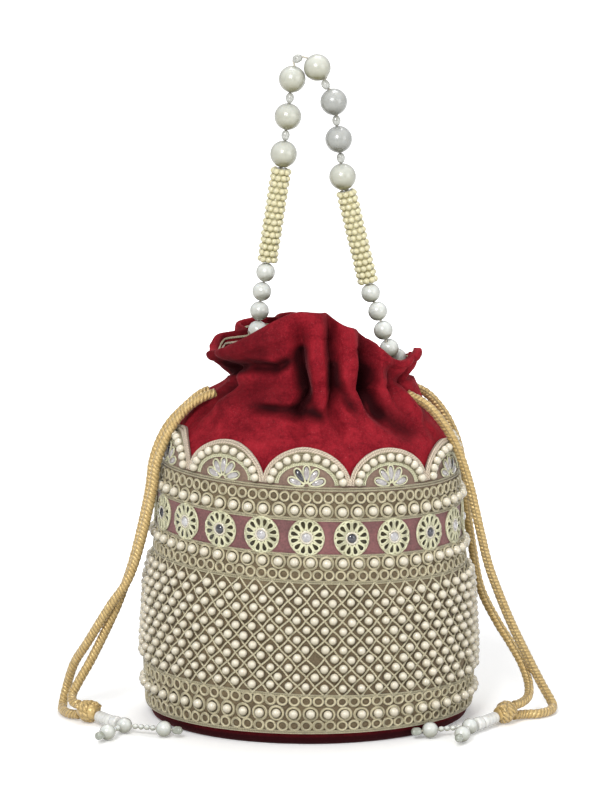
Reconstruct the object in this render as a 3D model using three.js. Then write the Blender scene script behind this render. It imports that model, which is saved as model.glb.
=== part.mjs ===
// A potli: a gathered velvet pouch inside an embroidered sleeve, with a swinging handle of strung
// pearls and two pairs of rope drawstrings that end in knots and beaded tassels.
// Millimetres, +Z up. The front faces -Y and the middle of the base is the origin.
import * as THREE from 'three';

const DEGREE = Math.PI / 180;
const CLEARANCE = 0.3;

// Velvet pouch
const BODY_WIDTH = 169;
const BODY_DEPTH = 144;
const BASE_ROUND = 4;
const VELVET_WALL = 2.6;
const NECK_WIDTH = 96;
const NECK_DEPTH = 77;
const NECK_SHIFT = 6;
const SHOULDER_RISE = 43;
const RIM_WIDTH = 107;
const RIM_DEPTH = 68;
const RIM_SHIFT = 3.5;
const FOLD_START = 12;
const BODY_COLUMNS = 28;
const CLOSEST_COLUMN = 1.5;
const WIDEST_COLUMN = 14.5;

// Embroidered sleeve, from its lower edge up
const SLEEVE_LIFT = 7;
const SLEEVE_GAP = 0.4;
const SLEEVE_CLOTH = 1.1;
const EDGE_BAND = 19.8;
const CELL_HEIGHT = 9.84;
const LATTICE_CELLS = 54;
const LATTICE_HALF_ROWS = 12;
const MIDDLE_BAND = 13.6;
const ROSETTE_BAND = 18.8;
const UPPER_BAND = 17.6;
const SCALLOP_RISE = 18;
const SCALLOPS = 10;
const ROSETTES_PER_SCALLOP = 2;
const STEPS_PER_SCALLOP = 6;
const STUD_RISE = 2;
const BAND_RISE = 1.6;
const SCALLOP_CREST_RISE = 1.2;
const PATTERN_TURN = -1;
const PATTERN_TILT = 3.3;

// Base board and lining
const BOARD_THICKNESS = 2;
const BOARD_MARGIN = 2.5;
const LINING_WALL = 0.9;
const LINING_GAP = 0.5;

// Handle
const BIG_PEARL = 14;
const MEDIUM_PEARL = 10;
const SPACER_WIDTH = 5.2;
const SPACER_LENGTH = 5;
const SPACER_END = 3.9;
const WOVEN_WIDTH = 10.4;
const WOVEN_LENGTH = 50;
const WOVEN_RINGS = 12;
const WOVEN_GROOVE = 0.9;
const THREAD_WIDTH = 1;
const BORE_WIDTH = 1.9;
const HINGE_RISE = 10.5;
const TAB_THICKNESS = 1.6;
const TAB_ANGLE = 6;
const TAB_HEIGHT = 7;
const TAB_GAP = 0.6;

// Drawstrings and tassels
const ROPE_WIDTH = 5;
const ROPE_STEPS = 16;
const KNOT_WIDTH = 12;
const KNOT_LENGTH = 11;
const KNOT_FACE = 10.6;
const KNOT_WAIST = 10.6;
const FLOOR_GAP = 0.2;
const TUBE_BEAD_WIDTH = 6.4;
const TUBE_BEAD_LENGTH = 13;
const BARREL_WIDTH = 7;
const BARREL_LENGTH = 5.4;
const TASSEL_PEARL = 8.4;
const SEED_WIDTH = 3;
const SEED_GROOVE = 0.5;
const END_BEAD_WIDTH = 4.6;
const END_BEAD_LENGTH = 6;
const LONG_STRAND = 13;
const SHORT_STRAND = 7.5;
const BEAD_EASE = 1;

// Heights that follow from the sleeve's bands
const LATTICE_BOTTOM = SLEEVE_LIFT + EDGE_BAND;
const LATTICE_TOP = LATTICE_BOTTOM + (LATTICE_HALF_ROWS * CELL_HEIGHT) / 2;
const ROSETTE_BOTTOM = LATTICE_TOP + MIDDLE_BAND;
const ROSETTE_TOP = ROSETTE_BOTTOM + ROSETTE_BAND;
const SHOULDER_Z = ROSETTE_TOP + UPPER_BAND;
const NECK_Z = SHOULDER_Z + SHOULDER_RISE;
const HINGE_Z = NECK_Z + HINGE_RISE;

// How far the base's edge stands in from the widest line, both as shares of BASE_ROUND
const BASE_SHAPE = [[0, 1.3], [0.3, 0.625], [1, 0.325]];
// How far the belly stands in from its widest line, at shares of the height up to the shoulder
const BELLY_SHAPE = [
  [0.09, 0.9], [0.27, 0], [0.43, 1.2], [0.54, 2], [0.62, 4.4], [0.7, 5.8], [0.91, 7.5], [1, 9],
];
// How far the shoulder has closed from the belly's top to the neck, at shares of its rise
const SHOULDER_SHAPE = [
  [0, 0], [0.28, 0.07], [0.41, 0.18], [0.53, 0.35], [0.65, 0.53], [0.78, 0.73], [0.9, 0.91], [1, 1],
];
// Share of the shoulder's rise above which the neck moves sideways
const SHIFT_START = 0.72;
// Height of the frill's rim above the neck, at angles from the front toward +X
const RIM_HEIGHTS = [
  [-135, 26], [-110, 20], [-90, 15], [-65, 17.5], [-47, 22.5], [-28, 33], [-15, 39.5], [7, 39.5], [14, 33.5],
  [24, 31.5], [35, 23.5], [44, 16], [56, 12.5], [74, 15.5], [90, 16], [112, 10], [135, 9], [150, 14],
  [165, 22], [180, 28],
];
// How fast the frill spreads above the neck: below 1 it leans out first, then stands up
const FRILL_FLARE = 0.8;
// The gathers: the angle of each crease at the neck, its half width in degrees, its depth,
// how many degrees it has turned where it fades out on the shoulder, and the share of its depth left at the rim
const GATHERS = [
  [-152, 8, 9, -6, 0.75], [-122, 8, 12, 5, 0.75], [-63, 9, 4, -8, 0.6], [-10, 6, 12, 9, 0.15],
  [8, 5, 10, 12, 0.9], [29, 8, 14, 22, 0.6], [48, 7, 9, 20, 0.2], [67, 7, 7, 12, 0.15],
  [113, 8, 10, -6, 0.5], [138, 7, 9, 4, 0.6], [160, 8, 12, -3, 0.75], [184, 8, 10, 5, 0.75],
];
// The gathers' width at the rim, as a share of that at the neck
const RIM_GATHER_WIDTH = 1.25;
// Rows of the pouch's skin, as shares of the base's rounding, of the height up to the shoulder,
// of the shoulder's rise and of the frill's height
const BELLY_ROWS = [0.09, 0.27, 0.6, 0.91];
const SHOULDER_ROWS = [0, 0.25, 0.46, 0.65, 0.8, 0.9];
const FRILL_ROWS = [0, 0.3, 0.65, 1];
const INNER_FRILL_ROWS = [1, 0.5, 0];
const INNER_SHOULDER_ROWS = [0.75, 0.4, 0];
// Crest of the upper band, as a share of its height, and where the scallops start below its top
const UPPER_CREST = 0.4;
const SCALLOP_START = 0.2;
const SCALLOP_CREST = 0.6;
// The gap behind the scallops: shares of their height, and distances off the velvet
const SCALLOP_BACK = [[1, 0.8], [0.6, 1.6], [0.1, 0.8]];

function mix(a, b, share) {
  return a + (b - a) * share;
}

function eased(share) {
  const t = Math.min(Math.max(share, 0), 1);
  return t * t * (3 - 2 * t);
}

// A smooth line through [place, value] pairs, level beyond its ends.
function through(pairs, place) {
  const last = pairs.length - 1;
  if (place <= pairs[0][0]) {
    return pairs[0][1];
  }
  if (place >= pairs[last][0]) {
    return pairs[last][1];
  }
  let i = 0;
  while (place > pairs[i + 1][0]) i += 1;
  const slope = (k) => {
    const before = pairs[Math.max(k - 1, 0)];
    const after = pairs[Math.min(k + 1, last)];
    return (after[1] - before[1]) / (after[0] - before[0]);
  };
  const span = pairs[i + 1][0] - pairs[i][0];
  const t = (place - pairs[i][0]) / span;
  const rise = pairs[i + 1][1] - pairs[i][1];
  const leave = slope(i) * span;
  const arrive = slope(i + 1) * span;
  const square = 3 * rise - 2 * leave - arrive;
  const cube = leave + arrive - 2 * rise;
  return pairs[i][1] + t * leave + t ** 2 * square + t ** 3 * cube;
}

function aroundRing(pairs, degrees) {
  const rounds = [-360, 0, 360].flatMap((turn) => pairs.map(([angle, value]) => [angle + turn, value]));
  return through(rounds, degrees);
}

// Half the velvet's width at a height, without its gathers.
function velvetHalf(z) {
  const widest = BODY_WIDTH / 2;
  const base = BASE_SHAPE.map(([share, inset]) => [share * BASE_ROUND, widest - inset * BASE_ROUND]);
  const belly = BELLY_SHAPE.map(([share, inset]) => [share * SHOULDER_Z, widest - inset]);
  if (z <= SHOULDER_Z) {
    return through([...base, ...belly], z);
  }
  const closed = through(SHOULDER_SHAPE, (z - SHOULDER_Z) / SHOULDER_RISE);
  return mix(velvetHalf(SHOULDER_Z), NECK_WIDTH / 2, closed);
}

function closing(z) {
  return eased((z - SHOULDER_Z) / SHOULDER_RISE);
}

// How deep the gathers are at an angle; open is 0 at the neck and 1 at the frill's rim.
function gatherDepth(degrees, z, open) {
  const start = SHOULDER_Z + FOLD_START;
  const strength = eased((z - start) / (NECK_Z - start));
  return GATHERS.reduce((sum, [angle, half, depth, turned, left]) => {
    const faded = Math.min(Math.max((NECK_Z - z) / (NECK_Z - start), 0), 1);
    const away = Math.abs(((((degrees - angle - turned * faded) % 360) + 540) % 360) - 180);
    const here = depth * strength * mix(1, left, open);
    return sum + here * (1 - eased(away / (half * mix(1, RIM_GATHER_WIDTH, open))));
  }, 0);
}

// A point of the pouch below the neck, off the velvet by a distance along the ground.
function bodyPoint(theta, z, off) {
  const half = velvetHalf(z);
  const flat = mix(BODY_DEPTH / BODY_WIDTH, NECK_DEPTH / NECK_WIDTH, closing(z));
  const reach = off - gatherDepth(theta / DEGREE, z, 0);
  const shift = NECK_SHIFT * eased(((z - SHOULDER_Z) / SHOULDER_RISE - SHIFT_START) / (1 - SHIFT_START));
  return new THREE.Vector3(
    shift + (half + reach) * Math.sin(theta), -(half * flat + reach) * Math.cos(theta), z);
}

// A point of the frill; share is 0 at the neck and 1 at the rim.
function frillPoint(theta, share, off) {
  const spread = share ** FRILL_FLARE;
  const reach = off - gatherDepth(theta / DEGREE, NECK_Z, share);
  const across = mix(NECK_WIDTH, RIM_WIDTH, spread) / 2;
  const deep = mix(NECK_DEPTH, RIM_DEPTH, spread) / 2;
  return new THREE.Vector3(
    mix(NECK_SHIFT, RIM_SHIFT, spread) + (across + reach) * Math.sin(theta),
    -(deep + reach) * Math.cos(theta),
    NECK_Z + share * aroundRing(RIM_HEIGHTS, theta / DEGREE));
}

// A ring of points at rising angles; low marks the points that a diagonal of a band may join.
function ring(angles, point, low = null) {
  return { angles, points: angles.map(point), low };
}

function single(point) {
  return { angles: [0], points: [point], low: null };
}

// Triangles between two rings, each going round once.
function band(lower, upper, lowerStart, upperStart) {
  const triangles = [];
  const count = [lower, upper].map(({ points }) => (points.length > 1 ? points.length : 0));
  const ends = [lower, upper].map(({ angles }) => (k) => (
    k < angles.length ? angles[k] : angles[k - angles.length] + 2 * Math.PI));
  const at = [0, 0];
  const starts = [lowerStart, upperStart];
  const sizes = [lower.points.length, upper.points.length];
  const vertex = (side, k) => starts[side] + (k % sizes[side]);
  while (at[0] < count[0] || at[1] < count[1]) {
    const [i, j] = at;
    let gap = ends[0](i + 1) - ends[1](j + 1);
    if (i >= count[0]) {
      gap = 1;
    } else if (j >= count[1]) {
      gap = -1;
    }
    const joined = lower.low && upper.low && lower.low[i % count[0]] && upper.low[(j + 1) % count[1]];
    if (gap > 1e-6 || (Math.abs(gap) <= 1e-6 && joined)) {
      triangles.push([vertex(0, i), vertex(1, j + 1), vertex(1, j)]);
      at[1] += 1;
    } else {
      triangles.push([vertex(0, i), vertex(0, i + 1), vertex(1, j)]);
      at[0] += 1;
    }
  }
  return triangles;
}

// A closed body sewn from rings in turn, the last joined to the first unless both are single points.
function sewn(rings) {
  const starts = [];
  const points = [];
  rings.forEach((r) => {
    starts.push(points.length);
    points.push(...r.points);
  });
  const joins = rings[0].points.length > 1 ? rings.length : rings.length - 1;
  const triangles = [];
  for (let k = 0; k < joins; k += 1) {
    const next = (k + 1) % rings.length;
    triangles.push(...band(rings[k], rings[next], starts[k], starts[next]));
  }
  const geometry = new THREE.BufferGeometry().setFromPoints(points);
  geometry.setIndex(triangles.flat());
  geometry.computeVertexNormals();
  return geometry;
}

function evenAngles(count) {
  return Array.from({ length: count }, (_, i) => (2 * Math.PI * i) / count);
}

// Angles evenly spaced along the embroidered cloth instead of evenly turned.
function clothAngles(count) {
  const flat = BODY_DEPTH / BODY_WIDTH;
  const samples = 720;
  const lengths = [0];
  for (let k = 0; k < samples; k += 1) {
    const theta = (2 * Math.PI * (k + 0.5)) / samples;
    lengths.push(lengths[k] + Math.hypot(Math.cos(theta), flat * Math.sin(theta)));
  }
  let k = 0;
  return Array.from({ length: count }, (_, i) => {
    const goal = (lengths[samples] * i) / count;
    while (lengths[k + 1] < goal) k += 1;
    const part = (goal - lengths[k]) / (lengths[k + 1] - lengths[k]);
    return (2 * Math.PI * (k + part)) / samples + PATTERN_TURN * DEGREE;
  });
}

// Columns of the gathered part: each crease and its two shoulders, and more where they lie far apart.
function gatherAngles() {
  const marks = GATHERS.flatMap(([angle, half]) => [angle - half, angle, angle + half]);
  const sorted = marks.map((mark) => (mark + 360) % 360).sort((a, b) => a - b);
  const spaced = sorted.filter((mark, i) => i === 0 || mark - sorted[i - 1] > CLOSEST_COLUMN);
  const filled = spaced.flatMap((mark, i) => {
    const next = spaced[i + 1] ?? spaced[0] + 360;
    const parts = Math.ceil((next - mark) / WIDEST_COLUMN);
    return Array.from({ length: parts }, (_, k) => mix(mark, next, k / parts));
  });
  return filled.map((mark) => mark * DEGREE);
}

const bodyAngles = evenAngles(BODY_COLUMNS);
const foldAngles = gatherAngles();
// Rows below the gathers: the sleeve's inside and the lining follow the same rows as the pouch.
const bellyRows = BELLY_ROWS.map((share) => share * SHOULDER_Z);

function bodyRing(z, off) {
  return ring(bodyAngles, (theta) => bodyPoint(theta, z, off));
}

function foldRing(z, off) {
  return ring(foldAngles, (theta) => bodyPoint(theta, z, off));
}

function frillRing(share, off) {
  return ring(foldAngles, (theta) => frillPoint(theta, share, off));
}

function velvetPouch() {
  const shoulderHeight = (share) => SHOULDER_Z + share * SHOULDER_RISE;
  const innerBelly = bellyRows.slice(1).toReversed();
  return sewn([
    single(new THREE.Vector3(0, 0, 0)),
    ...BASE_SHAPE.map(([share]) => bodyRing(share * BASE_ROUND, 0)),
    ...bellyRows.map((z) => bodyRing(z, 0)),
    ...SHOULDER_ROWS.map((share) => foldRing(shoulderHeight(share), 0)),
    ...FRILL_ROWS.map((share) => frillRing(share, 0)),
    ...INNER_FRILL_ROWS.map((share) => frillRing(share, -VELVET_WALL)),
    ...INNER_SHOULDER_ROWS.map((share) => foldRing(shoulderHeight(share), -VELVET_WALL)),
    ...innerBelly.map((z) => bodyRing(z, -VELVET_WALL)),
    bodyRing(BASE_ROUND, -VELVET_WALL),
    single(new THREE.Vector3(0, 0, BASE_ROUND)),
  ]);
}

function baseBoard() {
  const bottom = BASE_ROUND + CLEARANCE;
  const off = -VELVET_WALL - BOARD_MARGIN;
  const edge = (z) => ring(bodyAngles, (theta) => bodyPoint(theta, BASE_ROUND, off).setZ(z));
  return sewn([
    single(new THREE.Vector3(0, 0, bottom)),
    edge(bottom),
    edge(bottom + BOARD_THICKNESS),
    single(new THREE.Vector3(0, 0, bottom + BOARD_THICKNESS)),
  ]);
}

// A plain bag inside the velvet, standing on the base board.
function liningBag() {
  const bottom = BASE_ROUND + 2 * CLEARANCE + BOARD_THICKNESS;
  const outside = -VELVET_WALL - LINING_GAP;
  const inside = outside - LINING_WALL;
  const rows = bellyRows.slice(1);
  return sewn([
    single(new THREE.Vector3(0, 0, bottom)),
    bodyRing(bottom, outside - LINING_GAP),
    ...rows.map((z) => bodyRing(z, outside)),
    ...rows.toReversed().map((z) => bodyRing(z, inside)),
    bodyRing(bottom + LINING_WALL, inside - LINING_GAP),
    single(new THREE.Vector3(0, 0, bottom + LINING_WALL)),
  ]);
}

// The embroidery runs a little higher at one side than at the other, except at its lower edge.
function tilted(theta, z) {
  return z - PATTERN_TILT * Math.sin(theta) * eased((z - SLEEVE_LIFT) / EDGE_BAND);
}

// A ring on the sleeve's face, raised by rise(i) above the cloth.
function faceRing(angles, z, rise, low = null) {
  const off = SLEEVE_GAP + SLEEVE_CLOTH;
  return ring(angles, (theta, i) => bodyPoint(theta, tilted(theta, z), off + rise(i)), low);
}

// The lattice: a stud in every cell, low where the threads cross and along its two edge lines.
function latticeRings() {
  const angles = clothAngles(2 * LATTICE_CELLS);
  return Array.from({ length: LATTICE_HALF_ROWS + 1 }, (_, row) => {
    const edge = row === 0 || row === LATTICE_HALF_ROWS;
    const low = angles.map((_angle, i) => edge || (row + i) % 2 === 0);
    return faceRing(angles, LATTICE_BOTTOM + (row * CELL_HEIGHT) / 2, (i) => (low[i] ? 0 : STUD_RISE), low);
  });
}

// The rosettes stand out as one facetted boss each, between two low lines.
function rosetteRings() {
  const columns = 2 * ROSETTES_PER_SCALLOP * SCALLOPS;
  const angles = clothAngles(columns);
  return [0, 0.5, 1].map((share) => {
    const low = angles.map((_angle, i) => share !== 0.5 || i % 2 === 0);
    return faceRing(angles, ROSETTE_BOTTOM + share * ROSETTE_BAND, (i) => (low[i] ? 0 : BAND_RISE), low);
  });
}

// Height of the scalloped edge: round arches between sharp low points.
function scallopHeight(i) {
  const across = (2 * (i % STEPS_PER_SCALLOP)) / STEPS_PER_SCALLOP - 1;
  return SHOULDER_Z + SCALLOP_RISE * Math.sqrt(1 - across * across);
}

function embroideredSleeve() {
  const edgeAngles = clothAngles(2 * ROSETTES_PER_SCALLOP * SCALLOPS);
  const halfScallop = Math.PI / SCALLOPS;
  const scallopAngles = clothAngles(STEPS_PER_SCALLOP * SCALLOPS).map((theta) => theta + halfScallop);
  const flush = SLEEVE_GAP + SLEEVE_CLOTH;
  const low = () => 0;
  const high = () => BAND_RISE;
  const start = SHOULDER_Z - SCALLOP_START * UPPER_BAND;
  const reach = (share, off) => ring(scallopAngles, (theta, i) => (
    bodyPoint(theta, tilted(theta, mix(start, scallopHeight(i), share)), off)));
  const inner = [SLEEVE_LIFT, ...bellyRows].toReversed().map((z) => bodyRing(z, SLEEVE_GAP));
  return sewn([
    faceRing(edgeAngles, SLEEVE_LIFT, low),
    faceRing(edgeAngles, SLEEVE_LIFT + 0.5 * EDGE_BAND, high),
    ...latticeRings(),
    faceRing(edgeAngles, LATTICE_TOP + 0.5 * MIDDLE_BAND, high),
    ...rosetteRings(),
    faceRing(edgeAngles, ROSETTE_TOP + UPPER_CREST * UPPER_BAND, high),
    reach(0, flush),
    reach(SCALLOP_CREST, flush + SCALLOP_CREST_RISE),
    reach(1, flush),
    ...SCALLOP_BACK.map(([share, off]) => reach(share, off)),
    ...inner,
  ]);
}

// Half the arc of a ball's profile, cut off at a bore if it has one; runs from its foot to its top.
function ballProfile(radius, bore, steps) {
  const tip = Math.acos(bore / radius);
  return Array.from({ length: steps + 1 }, (_, k) => {
    const angle = mix(-tip, tip, k / steps);
    const width = k === 0 || k === steps ? bore : radius * Math.cos(angle);
    return new THREE.Vector2(width, radius * Math.sin(angle));
  });
}

// A turned bead about its own Y: with a bore, its profile closes on itself.
function turned(profile, segments) {
  const bored = profile[0].x > 0;
  return new THREE.LatheGeometry(bored ? [...profile, profile[0]] : profile, segments);
}

function barrelProfile(width, length, end, bore) {
  const half = length / 2;
  return [
    new THREE.Vector2(bore, -half),
    new THREE.Vector2(end / 2, -half),
    new THREE.Vector2(width / 2, 0),
    new THREE.Vector2(end / 2, half),
    new THREE.Vector2(bore, half),
  ];
}

// Rings of seed pearls as ridges, with a groove between each pair.
function ringedProfile(width, length, rings, groove, bore) {
  const half = length / 2;
  const points = [new THREE.Vector2(bore, -half)];
  for (let k = 0; k < rings; k += 1) {
    const low = mix(-half, half, k / rings);
    const middle = mix(-half, half, (k + 0.5) / rings);
    points.push(new THREE.Vector2(width / 2 - groove, low), new THREE.Vector2(width / 2, middle));
  }
  points.push(new THREE.Vector2(width / 2 - groove, half), new THREE.Vector2(bore, half));
  return points;
}

// A short cylinder with its edges eased off.
function capsuleProfile(width, length) {
  const half = length / 2;
  const wide = width / 2;
  return [
    new THREE.Vector2(0, -half),
    new THREE.Vector2(wide - BEAD_EASE, -half),
    new THREE.Vector2(wide, BEAD_EASE - half),
    new THREE.Vector2(wide, half - BEAD_EASE),
    new THREE.Vector2(wide - BEAD_EASE, half),
    new THREE.Vector2(0, half),
  ];
}

// A rope knot as a wrapped lump with a narrower waist, flat where the ropes go in.
function knotProfile() {
  const half = KNOT_LENGTH / 2;
  return [
    new THREE.Vector2(0, -half),
    new THREE.Vector2(KNOT_FACE / 2, -half),
    new THREE.Vector2(KNOT_WIDTH / 2, -half / 2),
    new THREE.Vector2(KNOT_WAIST / 2, 0),
    new THREE.Vector2(KNOT_WIDTH / 2, half / 2),
    new THREE.Vector2(KNOT_FACE / 2, half),
    new THREE.Vector2(0, half),
  ];
}

function finish(color, roughness, metalness = 0) {
  return new THREE.MeshStandardMaterial({ color, roughness, metalness });
}

const velvet = finish(0x8e1220, 0.85);
const satin = finish(0xd8c9b0, 0.6);
const board = finish(0xb9a88c, 0.9);
const embroidery = finish(0xb3a488, 0.55);
const pearl = finish(0xe4dfd2, 0.3);
const seedPearl = finish(0xd9cfa8, 0.35);
const threadLook = finish(0xd8d2bf, 0.7);
const rope = finish(0xc8a55f, 0.4, 0.5);
const glass = finish(0xdfe3dd, 0.25);

const potli = new THREE.Group();

// Adds a sub-part; a bead's geometry is turned about Y, which then points along its axis.
function add(name, geometry, material, position = new THREE.Vector3(), axis = new THREE.Vector3(0, 1, 0)) {
  const mesh = new THREE.Mesh(geometry, material);
  mesh.name = name;
  mesh.position.copy(position);
  mesh.quaternion.setFromUnitVectors(new THREE.Vector3(0, 1, 0), axis);
  potli.add(mesh);
}

// A line of straight stretches whose own points are the stations of whatever is drawn along it.
class Stretches extends THREE.Curve {
  constructor(points) {
    super();
    this.points = points;
  }

  getPoint(t, target = new THREE.Vector3()) {
    const at = t * (this.points.length - 1);
    const i = Math.min(Math.floor(at), this.points.length - 2);
    return target.lerpVectors(this.points[i], this.points[i + 1], at - i);
  }

  getPointAt(u, target) {
    return this.getPoint(u, target);
  }

  getTangentAt(u, target = new THREE.Vector3()) {
    const i = Math.round(u * (this.points.length - 1));
    const before = this.points[Math.max(i - 1, 0)];
    const after = this.points[Math.min(i + 1, this.points.length - 1)];
    return target.subVectors(after, before).normalize();
  }
}

function drawnAlong(curve, width, sides, steps) {
  const section = new THREE.Shape().absarc(0, 0, width / 2, 0, 2 * Math.PI);
  return new THREE.ExtrudeGeometry(section, {
    steps, curveSegments: sides / 2, bevelEnabled: false, extrudePath: curve,
  });
}

// Handle, built from its two sewn ends up to the top pearl
// Lean of each bead from the one below, in degrees from upright: across toward +X, and deep toward +Y
const HANDLE_SIDES = {
  left: {
    mediumLeans: [45, 27, 5, 7, 11],
    mediumDepths: [-35, 35, 0, 0, 0],
    wovenLean: 8.6,
    bigLeans: [6.4, 6.6],
  },
  right: {
    mediumLeans: [-33, -18, -17, -22],
    mediumDepths: [-48, -7, 16, 21],
    wovenLean: -13.5,
    bigLeans: [-6, -7.5],
  },
};

function leanVector(across, deep) {
  return new THREE.Vector3(Math.tan(across * DEGREE), Math.tan(deep * DEGREE), 1).normalize();
}

// The middle of a sewn end's pearl: it just clears the tab on the frill's inside.
function hingePoint(side) {
  const rise = aroundRing(RIM_HEIGHTS, side * 90);
  const wallAt = (height) => frillPoint(side * 90 * DEGREE, height / rise, -VELVET_WALL).x;
  const lean = wallAt(HINGE_RISE + TAB_HEIGHT / 2) - wallAt(HINGE_RISE - TAB_HEIGHT / 2);
  const slant = Math.hypot(lean, TAB_HEIGHT) / TAB_HEIGHT;
  const wall = wallAt(HINGE_RISE);
  const bow = Math.abs(wall) * (1 - Math.cos(TAB_ANGLE * DEGREE));
  const inset = TAB_GAP + TAB_THICKNESS + bow + (CLEARANCE + MEDIUM_PEARL / 2) * slant;
  return new THREE.Vector3(wall - side * inset, 0, HINGE_Z);
}

function strungSide(side, { mediumLeans, mediumDepths, wovenLean, bigLeans }) {
  const beads = [{ kind: 'medium', half: MEDIUM_PEARL / 2, at: hingePoint(side) }];
  const next = (kind, half, direction, skip = 0) => {
    const last = beads[beads.length - 1];
    const far = last.half + half + CLEARANCE + (skip ? skip + CLEARANCE : 0);
    const at = last.at.clone().addScaledVector(direction, far);
    if (skip) {
      const middle = last.at.clone().addScaledVector(direction, far / 2 + (last.half - half) / 2);
      beads.push({ kind: 'spacer', half: skip / 2, at: middle });
    }
    beads.push({ kind, half, at });
  };
  mediumLeans.forEach((lean, i) => next('medium', MEDIUM_PEARL / 2, leanVector(lean, mediumDepths[i])));
  next('woven', WOVEN_LENGTH / 2, leanVector(wovenLean, 0));
  next('big', BIG_PEARL / 2, leanVector(wovenLean, 0));
  bigLeans.forEach((lean) => next('big', BIG_PEARL / 2, leanVector(lean, 0), SPACER_LENGTH));
  return beads;
}

// The point above a and b, in their upright plane, at the given distances from them.
function meeting(a, fromA, b, fromB) {
  const along = b.clone().sub(a);
  const apart = along.length();
  along.normalize();
  const share = (fromA * fromA - fromB * fromB + apart * apart) / (2 * apart);
  const height = Math.sqrt(Math.max(fromA * fromA - share * share, 0));
  const up = new THREE.Vector3(-along.z, 0, along.x).normalize();
  return a.clone().addScaledVector(along, share).addScaledVector(up, height);
}

function strungBeads() {
  const left = strungSide(-1, HANDLE_SIDES.left);
  const right = strungSide(1, HANDLE_SIDES.right);
  const leftTop = left[left.length - 1];
  const rightTop = right[right.length - 1];
  const touching = BIG_PEARL + CLEARANCE;
  const spaced = BIG_PEARL + SPACER_LENGTH + 2 * CLEARANCE;
  const top = { kind: 'big', half: BIG_PEARL / 2 };
  top.at = meeting(leftTop.at, touching, rightTop.at, spaced);
  const beside = { kind: 'spacer', half: SPACER_LENGTH / 2 };
  beside.at = top.at.clone().add(rightTop.at).multiplyScalar(0.5);
  // The last spacer has been pushed out between two pearls that touch.
  const pushed = { kind: 'spacer', half: SPACER_LENGTH / 2 };
  const clear = BIG_PEARL / 2 + Math.hypot(SPACER_LENGTH, SPACER_WIDTH) / 2 + 2 * CLEARANCE;
  pushed.at = meeting(leftTop.at, clear, top.at, clear);
  return [...left, pushed, top, beside, ...right.toReversed()];
}

function beadAxes(beads) {
  return beads.map((bead, i) => {
    const before = (beads[i - 1] ?? bead).at;
    const after = (beads[i + 1] ?? bead).at;
    const into = bead.at.clone().sub(before).normalize();
    const out = after.clone().sub(bead.at).normalize();
    return into.add(out).normalize();
  });
}

// The thread runs straight through each bead's bore, so it bends only between beads.
function threadStations(beads, axes) {
  const all = beads.flatMap(({ at, half }, i) => [-1, 1].map((end) => (
    at.clone().addScaledVector(axes[i], end * (half + CLEARANCE / 2)))));
  const inner = all.filter((point, i) => {
    if (i === 0 || i === all.length - 1) {
      return false;
    }
    const line = new THREE.Line3(all[i - 1], all[i + 1]);
    return line.closestPointToPoint(point, true, new THREE.Vector3()).distanceTo(point) > STRAIGHT;
  });
  return [all[0], ...inner, all[all.length - 1]];
}

// A station this close to the line between its neighbours is left out.
const STRAIGHT = 0.03;
const strung = strungBeads();
const strungAxes = beadAxes(strung);
const bore = BORE_WIDTH / 2;
const BEADS = {
  medium: { name: 'medium_pearl', sides: 6, profile: ballProfile(MEDIUM_PEARL / 2, bore, 4), look: pearl },
  woven: {
    name: 'woven_pearl_tube',
    sides: 6,
    profile: ringedProfile(WOVEN_WIDTH, WOVEN_LENGTH, WOVEN_RINGS, WOVEN_GROOVE, bore),
    look: seedPearl,
  },
  big: { name: 'big_pearl', sides: 8, profile: ballProfile(BIG_PEARL / 2, bore, 4), look: pearl },
  spacer: {
    name: 'spacer_bead',
    sides: 5,
    profile: barrelProfile(SPACER_WIDTH, SPACER_LENGTH, SPACER_END, bore),
    look: pearl,
  },
};
const made = {};
strung.forEach(({ kind, at }, i) => {
  const { name, sides, profile, look } = BEADS[kind];
  made[kind] = (made[kind] ?? 0) + 1;
  add(`${name}_${made[kind]}`, turned(profile, sides), look, at, strungAxes[i]);
});
const stations = threadStations(strung, strungAxes);
add('handle_thread', drawnAlong(new Stretches(stations), THREAD_WIDTH, 4, stations.length - 1), threadLook);

// A sewn tab on the frill's inside, following it, where the handle's end is stitched down.
function sewnTab(side) {
  const rise = aroundRing(RIM_HEIGHTS, side * 90);
  const middle = HINGE_RISE / rise;
  const half = TAB_HEIGHT / rise / 2;
  const corner = (turn, step, off) => {
    const theta = side * 90 * DEGREE + turn * TAB_ANGLE * DEGREE;
    return frillPoint(theta, middle + step * half, -VELVET_WALL - TAB_GAP - off);
  };
  const corners = [[-1, -1], [1, -1], [1, 1], [-1, 1]];
  const face = (off) => ring(evenAngles(corners.length), (_angle, i) => corner(...corners[i], off));
  const inner = face(TAB_THICKNESS);
  const outer = face(0);
  const middleOf = ({ points }) => points[0].clone().lerp(points[2], 0.5);
  return sewn([single(middleOf(inner)), inner, outer, single(middleOf(outer))]);
}

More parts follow.
